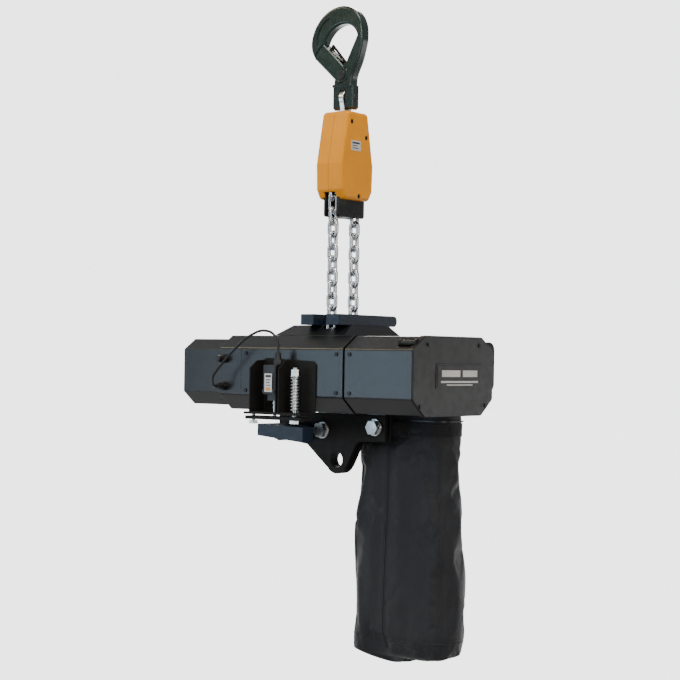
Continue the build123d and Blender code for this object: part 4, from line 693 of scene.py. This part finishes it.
# ---------------------------------------------------------------- labels
LABEL_GAP = 0.0001
low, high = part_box("limit_switch")
switch_mid = Vector(((low.x + high.x) / 2, low.y - LABEL_GAP, (low.z + high.z) / 2))
label("switch_label", switch_mid, (1, 0, 0), (0, 0, 1), 0.021, 0.040, "hoist", label_white,
      [(0, 0.36, 0.74, 0.12, label_ink), (0, 0.16, 0.6, 0.05, label_ink),
       (-0.08, 0.02, 0.5, 0.05, label_ink), (0, -0.14, 0.7, 0.04, label_ink),
       (0, -0.34, 0.55, 0.16, label_warm)])
low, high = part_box("name_plate")
plate_mid = Vector((high.x + LABEL_GAP, (low.y + high.y) / 2, (low.z + high.z) / 2))
label("plate_face", plate_mid, (0, 1, 0), (0, 0, 1),
      (high.y - low.y) * 0.94, (high.z - low.z) * 0.86, "hoist", LOOKS["black_cap"],
      [(-0.2, 0.12, 0.42, 0.30, label_pale), (0.24, 0.12, 0.34, 0.30, label_pale),
       (0, -0.26, 0.86, 0.09, label_pale), (0, -0.40, 0.6, 0.05, label_pale)])
label("block_label", (0.0371, -0.008, -0.273), (0, 1, 0), (0, 0, 1), 0.034, 0.022, "block", label_pale,
      [(0, 0.26, 0.78, 0.18, label_ink), (-0.12, -0.02, 0.52, 0.09, label_ink),
       (-0.06, -0.26, 0.66, 0.09, label_ink)])


# ---------------------------------------------------------------- stage and light
WORLD_COLOUR = (0.96, 0.965, 0.97)
SURROUND = 0.30  # how bright the room is
SWEEP = 3.4  # how bright the lit sweep behind the object is
FORWARD = (-math.sin(azimuth), math.cos(azimuth), 0.0)  # from the front to the sweep, fixed in the room
FLOOR_HALF = 60.0
FLOOR_DROP = 1.60  # the floor lies this far below the bag
FLOOR_GLOW = (2.5, 6.5)  # the floor brightens between these two distances along FORWARD
WORLD_GLOW = (0.80, 0.95)  # and the world between these two shares of a direction


def glow(tree, vector, start, end, low, high, target):
    """Sets a strength that rises from low to high with vector's share along FORWARD."""
    along = tree.nodes.new("ShaderNodeVectorMath")
    along.operation = "DOT_PRODUCT"
    along.inputs[1].default_value = FORWARD
    tree.links.new(vector, along.inputs[0])
    rise = tree.nodes.new("ShaderNodeMapRange")
    rise.interpolation_type = "SMOOTHSTEP"
    rise.inputs["From Min"].default_value = start
    rise.inputs["From Max"].default_value = end
    rise.inputs["To Min"].default_value = low
    rise.inputs["To Max"].default_value = high
    tree.links.new(along.outputs["Value"], rise.inputs["Value"])
    tree.links.new(rise.outputs["Result"], target)


floor_paper = surface("floor_paper", (0.16, 0.16, 0.16), 0.9, specular=0.1, tint=0.015, grain=90,
                      grain_depth=0.0003)
paper = floor_paper.node_tree.nodes["Principled BSDF"]
paper.inputs["Emission Color"].default_value = (*WORLD_COLOUR, 1)
place = floor_paper.node_tree.nodes.new("ShaderNodeNewGeometry")
glow(floor_paper.node_tree, place.outputs["Position"], *FLOOR_GLOW, 0.9 * SURROUND, 0.985 * SWEEP,
     paper.inputs["Emission Strength"])
floor_level = cad_box[0][2] - FLOOR_DROP
floor_corners = [(x * FLOOR_HALF, y * FLOOR_HALF, floor_level)
                 for x, y in ((-1, -1), (1, -1), (1, 1), (-1, 1))]
floor = made("floor", floor_corners, [(0, 1, 2, 3)], floor_paper, smooth=False)
floor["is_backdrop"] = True

world = bpy.data.worlds.new("studio")
scene.world = world
world.use_nodes = True
backdrop = world.node_tree.nodes["Background"]
backdrop.inputs["Color"].default_value = (*WORLD_COLOUR, 1)
direction = world.node_tree.nodes.new("ShaderNodeTexCoord")
glow(world.node_tree, direction.outputs["Generated"], *WORLD_GLOW, SURROUND, SWEEP,
     backdrop.inputs["Strength"])


def softbox(name, place, target, size, power, colour):
    """A rectangular area light at place that faces target."""
    data = bpy.data.lights.new(name, "AREA")
    data.shape = "RECTANGLE"
    data.size, data.size_y = size
    data.energy = power
    data.color = colour
    lamp = bpy.data.objects.new(name, data)
    scene.collection.objects.link(lamp)
    lamp.location = place
    lamp.rotation_euler = (Vector(target) - Vector(place)).to_track_quat("-Z", "Y").to_euler()


softbox("key", (-1.75, -3.0, -0.72), (0.1, 0, -0.75), (1.3, 1.1), 17, (0.58, 0.80, 1.0))
softbox("bend", (-1.9, -1.35, 1.25), (0, 0, -0.75), (1.6, 0.45), 22, (1.0, 0.86, 0.52))
softbox("front", (1.3, -3.3, 1.0), (0, 0, -0.6), (1.1, 1.1), 44, (1.0, 0.98, 0.95))
softbox("low", (-2.4, -2.6, -1.7), (0.1, 0, -1.1), (1.0, 0.7), 7, (0.80, 0.90, 1.0))
softbox("fill", (3.4, -1.2, -0.4), (0, 0, -0.8), (1.0, 2.4), 28, (1.0, 0.96, 0.90))
softbox("top", (0.9, -0.9, 2.3), (0, 0, -0.7), (1.6, 1.2), 60, (1.0, 0.95, 0.86))
softbox("rim", (-1.6, 2.6, 1.2), (0, 0, -0.8), (1.0, 1.6), 60, (1.0, 0.93, 0.80))


# ---------------------------------------------------------------- sizes
def shown_box():
    """The box of all that is seen, in metres."""
    low, high = np.full(3, np.inf), np.full(3, -np.inf)
    graph = bpy.context.evaluated_depsgraph_get()
    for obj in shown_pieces():
        shown = obj.evaluated_get(graph)
        mesh = shown.to_mesh()
        spots = np.zeros(len(mesh.vertices) * 3)
        mesh.vertices.foreach_get("co", spots)
        turned = spots.reshape(-1, 3) @ np.array(obj.matrix_world.to_3x3()).T
        turned = turned + np.array(obj.matrix_world.translation)
        low, high = np.minimum(low, turned.min(0)), np.maximum(high, turned.max(0))
        shown.to_mesh_clear()
    return [low.tolist(), high.tolist()]


bpy.context.view_layer.update()
{"cad_box": [list(corner) for corner in cad_box], "visual_box": shown_box()}
